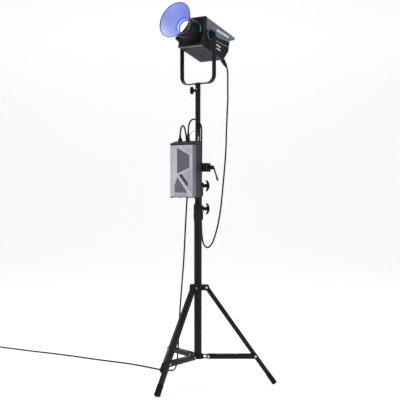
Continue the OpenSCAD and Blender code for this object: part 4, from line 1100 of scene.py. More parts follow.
# darker and bluer towards the top of the bowl: painted shade
mz = nt.nodes.new("ShaderNodeMapRange"); mz.inputs["From Min"].default_value = 1.60; mz.inputs["From Max"].default_value = 1.69; mz.interpolation_type = "SMOOTHSTEP"
nt.links.new(sx.outputs["Z"], mz.inputs["Value"])
gz = nt.nodes.new("ShaderNodeMix"); gz.data_type = "RGBA"; gz.inputs["A"].default_value = (1, 1, 1, 1); gz.inputs["B"].default_value = (0.44, 0.50, 0.80, 1)
nt.links.new(mz.outputs["Result"], gz.inputs["Factor"])
mg = nt.nodes.new("ShaderNodeMix"); mg.data_type = "RGBA"; mg.blend_type = "MULTIPLY"; mg.inputs["Factor"].default_value = 1.0
nt.links.new(mm.outputs["Result"], mg.inputs["A"]); nt.links.new(gz.outputs["Result"], mg.inputs["B"])
nt.links.new(mg.outputs["Result"], p_.inputs["Base Color"]); nt.links.new(mg.outputs["Result"], p_.inputs["Emission Color"])
p_.inputs["Emission Strength"].default_value = 0.06
p_.inputs["Metallic"].default_value = 0.35; p_.inputs["Roughness"].default_value = 0.38
m_reflector_painted_glow = mr

def bowl_a(t): return 107 + (171.5 - 107) * t ** 1.08
def reflector():
    NA, NS = 288, 84
    v, f, dep = [], [], []
    for j in range(NS + 1):
        t = 0.955 * j / NS
        r, a = 34 + 47.4 * t, bowl_a(t)
        fade = min(t / 0.06, (0.955 - t) / 0.03, 1.0)
        for i in range(NA):
            th = 2 * math.pi * i / NA
            row = t * 21
            sh = 0.5 * (int(row) % 2)
            d = abs(math.sin(math.pi * row)) * abs(math.sin(math.pi * (i / NA * 72 + sh)))
            q = 0.5 * d * max(fade, 0)
            # normal of the bowl points to the axis and forwards
            v.append(((r + 0.8 * q) * math.cos(th), (r + 0.8 * q) * math.sin(th), a - 0.6 * q)); dep.append(t)
    for j in range(NS):
        for i in range(NA):
            f.append((j * NA + i, j * NA + (i + 1) % NA, (j + 1) * NA + (i + 1) % NA, (j + 1) * NA + i))
    n_in = len(f)
    # throat band, outer skin and rolled rim close the body
    def add_ring(r, z, t):
        k = len(v)
        for i in range(NA):
            th = 2 * math.pi * i / NA
            v.append((r * math.cos(th), r * math.sin(th), z)); dep.append(t)
        return k
    prev = NS * NA
    bead = [(79.5, 169.3), (79.9, 170.4), (80.5, 171.2), (81.3, 171.5), (82.0, 171.2), (82.4, 170.4), (82.3, 169.4), (81.8, 168.6), (81.0, 167.9)]
    out_rows = bead + [(35.6 + 46.8 * t, bowl_a(t) - 1.7) for t in [0.95 - 0.95 * k / 14 for k in range(0, 15)]] + [(35.4, 98.1), (34.1, 98.1)]
    mats_f = [0] * n_in
    for idx, (r, z) in enumerate(out_rows):
        k = add_ring(r, z, 1.0)
        for i in range(NA):
            f.append((prev + i, prev + (i + 1) % NA, k + (i + 1) % NA, k + i)); mats_f.append(1 if idx < len(bead) else 2)
        prev = k
    for i in range(NA):
        f.append((prev + i, prev + (i + 1) % NA, (i + 1) % NA, i)); mats_f.append(0)
    o = raw("reflector_bowl_piece", v, f, OPT, [m_reflector_painted_glow, m_rim, m_outer], True, 40)
    o.data.polygons.foreach_set("material_index", mats_f)
    at = o.data.attributes.new("depth", "FLOAT", "POINT")
    at.data.foreach_set("value", dep)
    # three rivets joining bowl and base
    parts = [o]
    for k in range(3):
        a = 90 + 120 * k
        parts.append(rivet("rf_rv", 1.8, 1.0, OPT, m_outer, RZ(a) @ T(44.0, 0, 112.5) @ RY(124), False))
    return join("reflector_bowl_piece", parts)
# blue throat band with emission: a painted glow of the lamp's light
m_throat_painted_glow = mat("throat_blue_painted_glow", srgb("#2338b8"), rough=0.35, metal=0.4, grain=900, grain_bump=0.05, emit=srgb("#2a48e0"), emit_s=0.35)
m_rim = mat("reflector_rim", srgb("#161829"), rough=0.4, spec=0.25, grain=900, grain_bump=0.05)
m_outer = mat("reflector_outside", srgb("#c2c2c6"), rough=0.3, metal=1.0, grain=700, grain_bump=0.06, mottle_amt=0.06, stretch=(1, 1, 1))
go(reflector(), "reflector", "reflector_metal", "reflector")

def rbase():
    pr = [(47, 62.4), (47, 66), (46.3, 66.7), (46.3, 68.3), (47, 69), (47, 82), (46.3, 82.7), (46.3, 84.3), (47, 85), (46.9, 89.6), (45.6, 94), (44, 97.7), (40, 97.8), (34.1, 97.8), (34.1, 95), (40.6, 91), (40.6, 62.4)]
    body = lathe("rb", pr, OPT, [m_ringblack, m_throat_painted_glow], 128, closed=True, angle=28)
    inv = OPT.inverted()
    # faces inside the throat take the blue painted glow
    body.data.polygons.foreach_set("material_index", [1 if math.hypot((inv @ p.center).x, (inv @ p.center).y) < 40.9 and 66 < (inv @ p.center).z < 97.4 else 0 for p in body.data.polygons])
    parts = [body,
             lathe("rb2", rounded([(41.1, 53.1), (44.0, 53.1), (44.0, 62.5), (41.1, 62.5), (41.1, 53.1)], 0.25), OPT, m_ringblack, 96)]
    for k in range(60):
        parts.append(box("rb_rib", (46.6, -0.7, 70.2), (47.45, 0.7, 80.8), OPT @ RZ(6 * k), m_ringblack, 0.25, 1))
    return join("reflector_base_piece", parts)
go(rbase(), "reflector", "black_metal", "reflector_base")

def bosses():
    parts = []
    for s in (-1, 1):
        d = ZX if s > 0 else ZXN
        parts.append(lathe("pb", rounded([(14, HB - 3.5), (23.2, HB - 3.5), (23.2, 72.6), (22.6, 73.2), (22.6, 76.2), (21.6, 77.2), (17.5, 77.2), (17.0, 76.4), (15.4, 76.4), (15, 77.2), (15, 84), (14.4, 84.6), (14.4, 86), (15, 86.6), (15, 89.6), (14.4, 90.1), (5, 90.1)], 0.35), HEAD @ d, m_ringblack, 96))
        for k in range(24):
            parts.append(box("pb_rib", (78.2, -0.55, 14.6), (83.4, 0.55, 15.4), HEAD @ RX(15 * k), m_ringblack, 0.2, 1) if s > 0 else
                         box("pb_rib", (-83.4, -0.55, 14.6), (-78.2, 0.55, 15.4), HEAD @ RX(15 * k), m_ringblack, 0.2, 1))
    parts.append(cyl("pb_bolt", 5, 90, 95.4, HEAD, m_steel, 0.1, 32, ZX))
    parts.append(lathe("pb_w", rounded([(4, 95.1), (8, 95.1), (8, 96.4), (4, 96.4)], 0.2), HEAD @ ZX, m_ringblack, 48))
    parts.append(hexbolt("pb_hex", 12.4, 5.0, HEAD, m_ringblack, ZX @ T(0, 0, 96.3)))
    parts.append(rivet("pb_pin", 2.6, 0.9, HEAD, m_steel, ZX @ T(0, 0, 101.0), False))
    parts.append(cyl("pb_stud", 5, 90, 108, HEAD, m_steel, 0.8, 32, ZXN))
    return join("pivot_bosses_piece", parts)
go(bosses(), "head", "black_metal", "pivot_bosses")

def tilt_knob_piece():
    n = 120
    x = lambda d: 92.65 + d
    rows = [(x(2.6), 8.4), (x(3), 9), (x(9.6), 9), (x(10), 11.4), (x(11), 12.4), (x(12.6), 13), (x(26.4), 13), (x(27.6), 12.2), (x(28), 10.6), (x(28), 6), (x(27.2), 5.6), (x(27.2), 0.02)]
    v, f = [], []
    for z, r in rows:
        for i in range(n):
            a = 2 * math.pi * i / n
            lobe = 3.2 * (1 + math.cos(3 * (a - math.radians(10))))
            q = r + (lobe * (r - 10.4) / 2.6 if r > 10.6 else 0) - (0.8 if r > 12 else 0)
            v.append((q * math.cos(a), q * math.sin(a), z))
    m_ = len(rows)
    for j in range(m_ - 1):
        for i in range(n):
            f.append((j * n + i, j * n + (i + 1) % n, (j + 1) * n + (i + 1) % n, (j + 1) * n + i))
    f += [tuple(range(n))[::-1], tuple((m_ - 1) * n + i for i in range(n))]
    parts = [raw("tk", v, f, HEAD @ ZXN, m_knob, True, 32)]
    return join("tilt_knob_piece", parts)
go(tilt_knob_piece(), "tilt_knob", "knob_plastic", "tilt_knob")

def relief(name, fr, r0, r1, z0, z1, n, m):
    """tapered strain relief with ring grooves"""
    pr = [(0, z0), (r0, z0)]
    for k in range(n):
        t0, t1 = k / n, (k + 1) / n
        za, zb = z0 + (z1 - z0) * t0, z0 + (z1 - z0) * t1
        ra, rb = r0 + (r1 - r0) * t0, r0 + (r1 - r0) * t1
        w = (zb - za)
        pr += [(ra, za + w * 0.05), (ra, za + w * 0.55), (ra - 0.9, za + w * 0.62), (rb - 0.9, zb - w * 0.05)]
    pr += [(r1, z1 - 0.6), (r1 - 0.3, z1), (0, z1)]
    return lathe(name, pr, fr, m, 40, angle=28)

def head_plug_piece():
    fr = BODY @ T(46, 133.9, -53) @ RX(-115.2)
    parts = [lathe("hp", rounded([(0, 0), (10.5, 0), (10.5, 3.6), (9.6, 4), (9.6, 6), (9.0, 6.4), (9.0, 8), (9.6, 8.4), (9.6, 22), (9.0, 23.6), (8.4, 24.2), (8.4, 37), (7.6, 38.8), (0, 39)], 0.35), fr, m_plug, 56)]
    for k in range(18):
        parts.append(box("hp_rib", (9.2, -0.6, 10), (9.95, 0.6, 21), fr @ RZ(20 * k), m_plug, 0.2, 1))
    parts.append(relief("hp_sr", fr, 7.3, 4.6, 38.6, 53, 5, m_plug))
    return join("head_plug_piece", parts)
go(head_plug_piece(), "head", "cable_rubber", "head_plug")

# =================================================================== CONTROL BOX
FACE = BOX @ T(0, -120, 0) @ RX(90)        # x right, y up, z towards the viewer
def front_shell():
    outer = [(-77, -87)] + [(-77, -114.6)] + circle_pts(-74, -114.6, 3, 5, 180, 270, True) + circle_pts(37, -114.6, 3, 5, 270, 360, True) + [(40, -87)]
    inner = [(-74.5, -86.9), (-74.5, -113), (37.5, -113), (37.5, -86.9)]
    wall = plate("bf_wall", [outer + inner[::-1]], 232.6, BOX, m_silver, 0.5, 2, T(0, 0, 975.5))
    wall.data.materials.append(m_box_side_grey_and_shade)
    rot = BOX.inverted().to_3x3().normalized()
    inv = BOX.inverted()
    idx = []
    for p in wall.data.polygons:
        nrm = (rot @ p.normal).normalized(); c = inv @ p.center
        # side faces take the darker grey-blue: partly their own tone, partly painted shade
        idx.append(1 if abs(nrm.x) > 0.75 and abs(c.x + 18.5) > 56 else 0)
    wall.data.polygons.foreach_set("material_index", idx)
    parts = [wall]
    # face panel with three sunk fields
    A = [(-40, 1080), (-40, 962.5), (25, 989.5), (25, 1046)]
    B = [(-38.5, 949), (-53.5, 908), (-52.5, 877.5), (14.0, 877.5)]
    C = [(-31, 955.5), (13.8, 902.5), (18.2, 920), (-15.5, 964)]
    rim = [(-75.6, 860.4), (38.6, 860.4), (38.6, 1090.6), (-75.6, 1090.6)]
    panel = plate("bf_face", [round_poly(rim, 2.0), round_poly(A, 0.8, 2)[::-1], round_poly(B, 0.8, 2)[::-1], round_poly(C, 0.8, 2)[::-1]], 3.2, FACE, m_silver, 0.5, 2, T(0, 0, -1.95))
    parts.append(panel)
    parts.append(plate("bf_back", [rrect_pts(-18.5, 975.5, 111, 227, 2, 4)], 0.8, FACE, m_recess, 0.2, 1, T(0, 0, -2.3)))
    # ribbing of the fields
    parts.append(bars("bf_ribA", clip_segs(A, 90, 3.2, 0.9), 1.6, 0.9, FACE, m_recess, -2.0, 0.55))
    parts.append(bars("bf_ribB", clip_segs(B, 0, 7.6, 0.9), 5.0, 0.9, FACE, m_recess, -2.0, 0.7))
    parts.append(bars("bf_ribC", clip_segs(C, -22, 5.2, 0.5), 2.6, 1.2, FACE, m_recess, -1.9, 0.6))
    parts.append(plate("bf_darkC", [round_poly(C, 0.8, 2)], 0.4, FACE, m_dark, 0.1, 1, T(0, 0, -1.75)))
    # fine lines on the upper right and lower right fields
    D = [(-22, 1087.5), (26.5, 1048.5), (37.5, 1048.5), (37.5, 1087.5)]
    parts.append(bars("bf_lineD", clip_segs(D, 42, 8.8, 1.2), 3.0, 0.4, FACE, m_lines, -0.4, 0.8))
    # split into convex parts
    E_a = [(-11, 966.5), (25, 983.0), (37.5, 983.0), (37.5, 921), (22.5, 921)]
    E_b = [(22.5, 919), (37.5, 919), (37.5, 868), (18.5, 900)]
    parts.append(bars("bf_lineE", clip_segs(E_a, -38, 6.2, 0.9), 2.5, 0.4, FACE, m_lines, -0.4, 0.7))
    parts.append(bars("bf_lineE2", clip_segs(E_b, -38, 6.2, 0.9), 2.5, 0.4, FACE, m_lines, -0.4, 0.7))
    # bright rule from the middle of the left to the lower right corner
    parts.append(bars("bf_rule", [((-41, 957), (35.5, 863.5))], 2.4, 0.5, FACE, m_silver_trim_and_highlight, -0.45, 0.7))
    # field under the ribbed ones
    G = [(-58, 874.5), (12.5, 874.5), (21, 864), (-58, 864)]
    parts.append(bars("bf_lineG", clip_segs(G, 0, 3.4, 0.7), 1.7, 0.35, FACE, m_lines, -0.38, 0.7))
    # left strip with a stippled texture
    rng = np.random.default_rng(7)
    v, f = [], []
    z = 865.0; row = 0
    while z < 1087:
        x = -73.0 + (1.6 if row % 2 else 0)
        xr = -43.5 if z > 955 else -43.5 - (955 - z) * 0.24
        while x < xr:
            s = 0.75; k = len(v); jx, jz = rng.uniform(-0.25, 0.25, 2)
            v += [(x + jx - s, z + jz - s, -0.15), (x + jx + s, z + jz - s, -0.15), (x + jx + s, z + jz + s, -0.15), (x + jx - s, z + jz + s, -0.15), (x + jx, z + jz, 0.32)]
            f += [(k, k + 1, k + 4), (k + 1, k + 2, k + 4), (k + 2, k + 3, k + 4), (k + 3, k, k + 4), (k + 3, k + 2, k + 1, k)]
            x += 3.2
        z += 2.8; row += 1
    st = raw("bf_stipple", [(a, b, c - 0.25) for a, b, c in v], f, FACE, m_silver, smooth=False)
    parts.append(st)
    return join("box_front_shell_piece", parts)
go(front_shell(), "riser_2", "box_silver", "box_front_shell")

def rear_shell():
    outer = [(-77, -87), (40, -87)] + circle_pts(36, -38, 4, 6, 0, 90, True) + circle_pts(-73, -38, 4, 6, 90, 180, True)
    inner = [(-74.5, -86.9), (37.5, -86.9), (37.5, -36.5), (-74.5, -36.5)]
    o = plate("br_wall", [outer, inner[::-1]], 232.8, BOX, m_boxdark, 0.5, 2, T(0, 0, 975.5))
    cut = [box("c", (-82, -70, 1010), (-72, -44, 1054), BOX), box("c", (-82, -64, 899.4), (-72, -49.4, 923.2), BOX),
           cyl("c", 4.1, -84, -70, BOX, None, 0.0001, 32, T(0, -57, 970) @ ZX)]
    # louvres through the back wall
    cut.append(bars("c", [((-62 + 7 * k, 1030), (-62 + 7 * k, 1076)) for k in range(14)], 3.0, 10, BOX @ T(0, -30, 0) @ RX(90), None, -1.0, 1.0))
    boolean(o, cut); shade(o, 30)
    parts = [o]
    # groove between the shells, floor plate and rubber feet
    parts.append(plate("br_floor", [[(-77, -120), (40, -120), (40, -34), (-77, -34)]], 3, BOX, m_boxdark, 0.9, 2, T(0, 0, 857.5)))
    for x in (-73, -31, 30):
        for y in (-116, -46):
            parts.append(plate("br_foot", [rrect_pts(x + 3.5, y + 4, 7, 8, 1.6, 4)], 2.4, BOX, m_foot, 0.6, 2, T(0, 0, 855.2)))
    for z in (868, 1086):
        for y in (-71, -40):
            for s in (-1, 1):
                xw = 40 if s > 0 else -77
                parts.append(rivet("br_scr", 1.9, 0.8, BOX, m_steel, T(xw - s * 0.35, y, z) @ (ZX if s > 0 else ZXN), False))
    # bezel of the display, key caps and scale ticks round the dial on the left wall
    LW = BOX @ Matrix(((0, 0, -1, -77), (-1, 0, 0, 0), (0, 1, 0, 0), (0, 0, 0, 1)))   # x towards the front, y up, z outwards
    parts.append(plate("br_bez", [rrect_pts(57, 1032, 31, 49, 3, 5), rrect_pts(57, 1032, 25, 43, 2, 4)[::-1]], 1.6, LW, m_boxdark, 0.5, 2, T(0, 0, 0.1)))
    for k in range(3):
        parts.append(plate("br_key", [rrect_pts(49 + 8 * k, 998, 6, 6, 1.4, 4)], 1.8, LW, m_knob, 0.5, 2, T(0, 0, 0.2)))
    for k in range(11):
        a = math.radians(-60 + 30 * k)
        parts.append(bars("br_tick", [((57 + 15 * math.cos(a), 970 + 15 * math.sin(a)), (57 + 17.5 * math.cos(a), 970 + 17.5 * math.sin(a)))], 0.9, 0.3, LW, m_mark, -0.1))
    parts.append(plate("br_swb", [rrect_pts(56.7, 911.3, 20, 29.5, 2.4, 5), rrect_pts(56.7, 911.3, 14.6, 23.8, 0.8, 3)[::-1]], 1.4, LW, m_boxdark, 0.4, 2, T(0, 0, 0.1)))
    return join("box_rear_shell_piece", parts)
go(rear_shell(), "riser_2", "box_dark", "box_rear_shell")

def top_cap():
    o = prism_x("bt", [(-120, 1092), (-120, 1100), (-70, 1113), (-34, 1113), (-34, 1092)], -77, 40, BOX, m_boxdark, 1.4, 3)
    parts = [o]
    for x in (-48.6, -6):
        parts.append(lathe("bt_sock", rounded([(7.0, 1110), (10.5, 1110), (10.5, 1112.6), (9.9, 1113.4), (7.8, 1113.5), (7.6, 1111), (7.0, 1111), (7.0, 1110)], 0.3), BOX @ T(x, -77, 0), m_ringblack, 56))
        parts.append(cyl("bt_sk", 7.7, 1109, 1112.4, BOX, m_dark, 0.2, 40, T(x, -77, 0)))
    for (x, y) in ((-70, -40), (33, -40)):
        parts.append(rivet("bt_scr", 2.0, 0.9, BOX, m_steel, T(x, y, 1112.6), False))
    for k in range(6):
        parts.append(box("bt_rib", (-26 + 8 * k, -113, -0.4), (-22.6 + 8 * k, -88, 0.7), BOX, m_boxdark, 0.4, 2, T(0, 0, 1100.3) @ T(0, -120, 0) @ RX(14.57) @ T(0, 120, 0)) if k > 1 else
                     box("bt_rib", (-66 + 8 * k, -113, -0.4), (-62.6 + 8 * k, -88, 0.7), BOX, m_boxdark, 0.4, 2, T(0, 0, 1100.3) @ T(0, -120, 0) @ RX(14.57) @ T(0, 120, 0)))
    return join("box_top_cap_piece", parts)
go(top_cap(), "riser_2", "box_dark", "box_top_cap")

def wire_loop_piece():
    arc = [(7.5 + 23.5 * math.cos(math.radians(t)), -50, 1133 + 23.5 * math.sin(math.radians(t))) for t in range(0, 181, 6)]
    path = [(31, -50, z) for z in range(1116, 1133, 4)] + arc + [(-16, -50, z) for z in range(1129, 1112, -4)]
    path = resample([(BOX @ Vector(q))[:] for q in path], 0.0008)
    # twisted strands round a core
    n = len(path)
    tan = np.gradient(path, axis=0); tan /= np.linalg.norm(tan, axis=1)[:, None]
    u = np.cross(tan, (BOX.to_3x3() @ Vector((0, 1, 0))).normalized()[:]); u /= np.linalg.norm(u, axis=1)[:, None]
    w = np.cross(tan, u)
    parts = []
    for k in range(5):
        ph = 2 * math.pi * k / 5 + np.arange(n) * 0.55
        q = path + 0.00062 * (np.cos(ph)[:, None] * u + np.sin(ph)[:, None] * w)
        parts.append(tube("wl", q, 0.00048, m_wire, 6))
    for x in (-16, 31):
        parts.append(lathe("wl_f", rounded([(0, 1113), (2.6, 1113), (2.6, 1119), (2.2, 1119.6), (2.2, 1120.6), (2.6, 1121.2), (2.6, 1130), (2.1, 1133), (0, 1133)], 0.3), BOX @ T(x, -50, 0), m_silver_trim_and_highlight, 32))
    return join("wire_loop_piece", parts)
go(wire_loop_piece(), "riser_2", "wire_steel", "wire_loop")

# display glass, rocker and dial
def display():
    LW = BOX @ Matrix(((0, 0, -1, -77), (-1, 0, 0, 0), (0, 1, 0, 0), (0, 0, 0, 1)))
    parts = [plate("bd", [rrect_pts(57, 1032, 25.6, 43.6, 2, 5)], 3.2, LW, m_disp, 0.4, 2, T(0, 0, -1.1))]
    for k, w in enumerate((14, 9, 16, 11)):
        parts.append(plate("bd_seg", [rrect_pts(57 - 8 + w / 2, 1044 - 8 * k, w, 3, 0.8, 3)], 0.14, LW, m_mark, 0.05, 1, T(0, 0, 0.52)))
    return join("box_display_piece", parts)
go(display(), "riser_2", "display_glass", "box_display")

def rocker():
    LW = BOX @ Matrix(((0, 0, -1, -77), (-1, 0, 0, 0), (0, 1, 0, 0), (0, 0, 0, 1)))
    prof = [(-10.9, -4.4), (-10.9, 1.3), (-3, 0.2), (3, 0.4), (10.9, 1.35), (10.9, -4.4)]
    n = len(prof)
    v = [(49.8, 911.3 + y, z) for y, z in prof] + [(63.6, 911.3 + y, z) for y, z in prof]
    f = [tuple(range(n)), tuple(range(n, 2 * n))[::-1]] + [(i, n + i, n + (i + 1) % n, (i + 1) % n) for i in range(n)]
    o = raw("rk", v, f, LW, m_switch, smooth=False)
    bevel(o, 0.6, 3)
    parts = [o, bars("rk_m", [((56.7, 915.5), (56.7, 919.5))], 1.1, 0.3, LW, m_mark, 0.75),
             torus("rk_o", 2.0, 0.3, LW, m_mark, 32, 8, T(56.7, 905, 0.75))]
    return join("power_switch_piece", parts)
go(rocker(), "power_switch", "switch_red", "power_switch")

def dial():
    n = 144
    rows = [(0.3, 11.3), (0.6, 12), (2.6, 12), (3.0, 11.3), (11.8, 11.0), (12.7, 10.2), (13, 9), (13, 0.02)]
    v, f = [], []
    for z, r in rows:
        for i in range(n):
            a = 2 * math.pi * i / n
            q = r - (0.45 * (0.5 - 0.5 * math.cos(36 * a)) if 9.5 < r < 11.5 and z > 1 else 0)
            v.append((q * math.cos(a), q * math.sin(a), z))
    m_ = len(rows)
    for j in range(m_ - 1):
        for i in range(n):
            f.append((j * n + i, j * n + (i + 1) % n, (j + 1) * n + (i + 1) % n, (j + 1) * n + i))
    f += [tuple(range(n))[::-1], tuple((m_ - 1) * n + i for i in range(n))]
    fr = BOX @ T(-77, -57, 970) @ ZXN
    parts = [raw("dd", v, f, fr, m_knob, True, 28), cyl("dd_s", 3.95, -8, 1, fr, m_steel, 0.4, 32), bars("dd_m", [((0, 3.5), (0, 9.5))], 1.2, 0.12, fr, m_mark, 12.9)]
    return join("dimmer_dial_piece", parts)
go(dial(), "dimmer_dial", "knob_plastic", "dimmer_dial")

# board inside
def board():
    parts = [plate("pb0", [rrect_pts(-16.5, 970, 97, 200, 3, 4)], 2, BOX, m_pcb, 0.3, 1, T(0, -99, 0) @ RX(90))]
    for k in range(4):
        x = -57 + 24 * k; z = 886 + 18 * (k % 2)
        parts.append(box("pb1", (x, -98, z), (x + 16, -80, z + 42), BOX, m_ringblack, 1.2, 2))
        for j in range(5):
            parts.append(box("pb2", (x + 1 + 3.2 * j, -80.4, z + 1), (x + 2.2 + 3.2 * j, -76.4, z + 41), BOX, m_alu, 0.2, 1))
    parts.append(torus("pb3", 9.6, 4.3, BOX, m_brass, 48, 12, T(-43, -90, 1012) @ ZY))
    for (x, z) in ((-10, 1040), (8, 1040), (20, 1015)):
        parts.append(lathe("pb4", rounded([(0, 0), (6, 0), (6, 20), (5, 20.6), (0, 20.6)], 0.5), BOX @ T(x, -98, z) @ ZY, m_disp, 32))
    return join("power_board_piece", parts)
go(board(), "riser_2", "circuit_green", "power_board")

# clamp
CZ = 993.0
def clamp_frame_piece():
    parts = []
    def blk(lo, hi, b):
        return box("cf", lo, hi, BOX, m_cast, b, 3)
    back = blk((-30, -34, CZ - 20), (62, -24, CZ + 20), 2.2)
    left = blk((-30, -25.5, CZ - 20), (-12.5, 13.5, CZ + 20), 2.4)
    right = blk((42, -25.5, CZ - 20), (62, 11.5, CZ + 20), 2.6)
    vee = box("c", (-12, -12, CZ - 30), (12, 12, CZ + 30), BOX, None, 0, 1, T(-13, 0, 0) @ RZ(45))
    bore = cyl("c", 12.02, CZ - 30, CZ + 30, BOX, None, 0.0001, 64)
    scr = cyl("c", 4.1, 30, 80, BOX, None, 0.0001, 32, T(0, 0, CZ) @ ZX)
    boolean(left, [vee, bore]); shade(left, 30)
    boolean(right, [scr]); shade(right, 30)
    parts += [back, left, right]
    parts.append(lathe("cf_b", rounded([(4.1, 61), (10, 61), (10, 66.6), (9, 68), (4.1, 68), (4.1, 61)], 0.5), BOX @ T(0, 0, CZ) @ ZX, m_cast, 56))
    # ribs of the casting and the screws that hold it on the box
    for z in (-12, 0, 12):
        parts.append(box("cf_r", (-10, -25.5, CZ + z - 1.5), (42, -21.4, CZ + z + 1.5), BOX, m_cast, 0.8, 2))
        parts.append(box("cf_r2", (46, 10.4, CZ + z - 1.5), (60, 11.9, CZ + z + 1.5), BOX, m_cast, 0.6, 2))
    for x in (-2, 34):
        for z in (-7, 7):
            parts.append(hexbolt("cf_h", 6, 2.6, BOX, m_steel, T(x, -24.4, CZ + z) @ ZY))
    return join("clamp_frame_piece", parts)
go(clamp_frame_piece(), "riser_2", "black_metal", "clamp_frame")

def clamp_jaw_piece():
    o = box("cj", (8, -16, CZ - 18), (28, 14, CZ + 18), BOX, m_collar, 1.8, 3)
    c1 = cyl("c", 12.3, CZ - 30, CZ + 30, BOX, None, 0.0001, 64)
    c2 = cyl("c", 4.5, 16, 40, BOX, None, 0.0001, 32, T(0, 0, CZ) @ ZX)
    boolean(o, [c1, c2]); shade(o, 30)
    parts = [o]
    for z in (-12, -6, 6, 12):
        parts.append(box("cj_r", (27.4, -13, CZ + z - 1.2), (28.4, 11, CZ + z + 1.2), BOX, m_collar, 0.4, 1))
    return join("clamp_jaw_piece", parts)
go(clamp_jaw_piece(), "clamp_jaw", "collar_plastic", "clamp_jaw")

def clamp_lever_piece():
    fr = BOX @ T(0, 0, CZ)
    # threaded rod
    n = 32; v, f = [], []
    x0, x1, pitch = 23.2, 68.0, 1.25
    rows = int((x1 - x0) / (pitch / 4))
    for j in range(rows + 1):
        x = x0 + (x1 - x0) * j / rows
        for i in range(n):
            a = 2 * math.pi * i / n
            ph = (x / pitch - i / n) % 1.0
            r = 3.98 - 0.55 * abs(2 * ph - 1) * (1 if 1 < j < rows - 1 else 0.6)
            v.append((r * math.cos(a), r * math.sin(a), x))
    for j in range(rows):
        for i in range(n):
            f.append((j * n + i, j * n + (i + 1) % n, (j + 1) * n + (i + 1) % n, (j + 1) * n + i))
    f += [tuple(range(n))[::-1], tuple(rows * n + i for i in range(n))]
    parts = [raw("cl", v, f, fr @ ZX, m_steel, True, 50)]
    parts.append(lathe("cl_hub", rounded([(0, 68.4), (8.2, 68.4), (9, 69.4), (9, 81), (8.2, 82.6), (6.4, 83.4), (6.2, 84), (0, 84)], 0.5), fr @ ZX, m_knob, 56))
    for k in range(12):
        parts.append(box("cl_k", (69.8, -0.7, 8.7), (80.4, 0.7, 9.4), fr @ RX(30 * k), m_knob, 0.25, 1))
    parts.append(hexbolt("cl_h", 6.4, 1.6, fr, m_steel, ZX @ T(0, 0, 82.8)))
    # cranked lever arm: swept rounded bar growing towards its tip
    L = BOX @ T(76, 0, CZ) @ RY(-20)
    secs = []
    prof = [(-3, 5.0, 8.6), (-8, 6.0, 8.0), (-16, 6.4, 7.0), (-28, 6.4, 6.6), (-40, 6.4, 7.2), (-50, 6.2, 8.4), (-58, 6.0, 9.6), (-63, 6.0, 9.4), (-66, 6.0, 7.0), (-67.4, 6.0, 3.2)]
    v, f = [], []
    cnt = None
    for z, xc, w in prof:
        ring = rrect_pts(0, 0, w * (0.9 if z < -20 else 1.0), w * 1.05, w * 0.42, 4)
        cnt = len(ring)
        v += [(xc + x, y, z) for x, y in ring]
    for j in range(len(prof) - 1):
        for i in range(cnt):
            f.append((j * cnt + i, j * cnt + (i + 1) % cnt, (j + 1) * cnt + (i + 1) % cnt, (j + 1) * cnt + i))
    f += [tuple(range(cnt)), tuple((len(prof) - 1) * cnt + i for i in range(cnt))[::-1]]
    parts.append(raw("cl_arm", v, f, L, m_knob, True, 45))
    return join("clamp_lever_piece", parts)
go(clamp_lever_piece(), "clamp_lever", "black_metal", "clamp_lever")

# plugs on top of the box
def mains_plug_piece():
    fr = BOX @ T(-48.6, -77, 1113.5)
    parts = [plate("mp", [rrect_pts(0, 0, 17, 13, 3, 6)], 10.4, fr, m_plug, 1.0, 3, T(0, 0, 5.2)),
             lathe("mp1", rounded([(0, 9), (6.2, 9), (5.6, 12), (5.4, 18.2), (4.8, 19), (0, 19)], 0.5), fr, m_plug, 40)]
    parts.append(relief("mp2", fr, 5.2, 4.3, 18, 30, 5, m_plug))
    for s in (-1, 1):
        for k in range(4):
            parts.append(box("mp_r", (-6.4, -0.35, 0), (6.4, 0.35, 0.9), fr, m_plug, 0.2, 1, T(0, s * 6.45, 2 + 2 * k)))
    return join("mains_plug_piece", parts)
go(mains_plug_piece(), "riser_2", "cable_rubber", "mains_plug")

def connector_piece():
    fr = BOX @ T(-6, -77, 1113.5)
    parts = [lathe("bc", rounded([(0, 0), (7.2, 0), (7.2, 3), (6.6, 3.4), (6.6, 4.2), (7.2, 4.6), (7.2, 12.4), (6.4, 13.4), (6.2, 14), (6.2, 28.6), (5.4, 30.2), (0, 30.2)], 0.3), fr, m_ringblack, 48),
             relief("bc1", fr, 4.6, 4.2, 29.6, 37, 3, m_plug)]
    for k in range(20):
        parts.append(box("bc_r", (6.9, -0.5, 5.4), (7.3, 0.5, 11.8), fr @ RZ(18 * k), m_ringblack, 0.12, 1))
        parts.append(box("bc_r2", (5.95, -0.4, 16), (6.3, 0.4, 27), fr @ RZ(18 * k), m_ringblack, 0.12, 1))
    return join("box_connector_piece", parts)
go(connector_piece(), "riser_2", "cable_rubber", "box_connector")

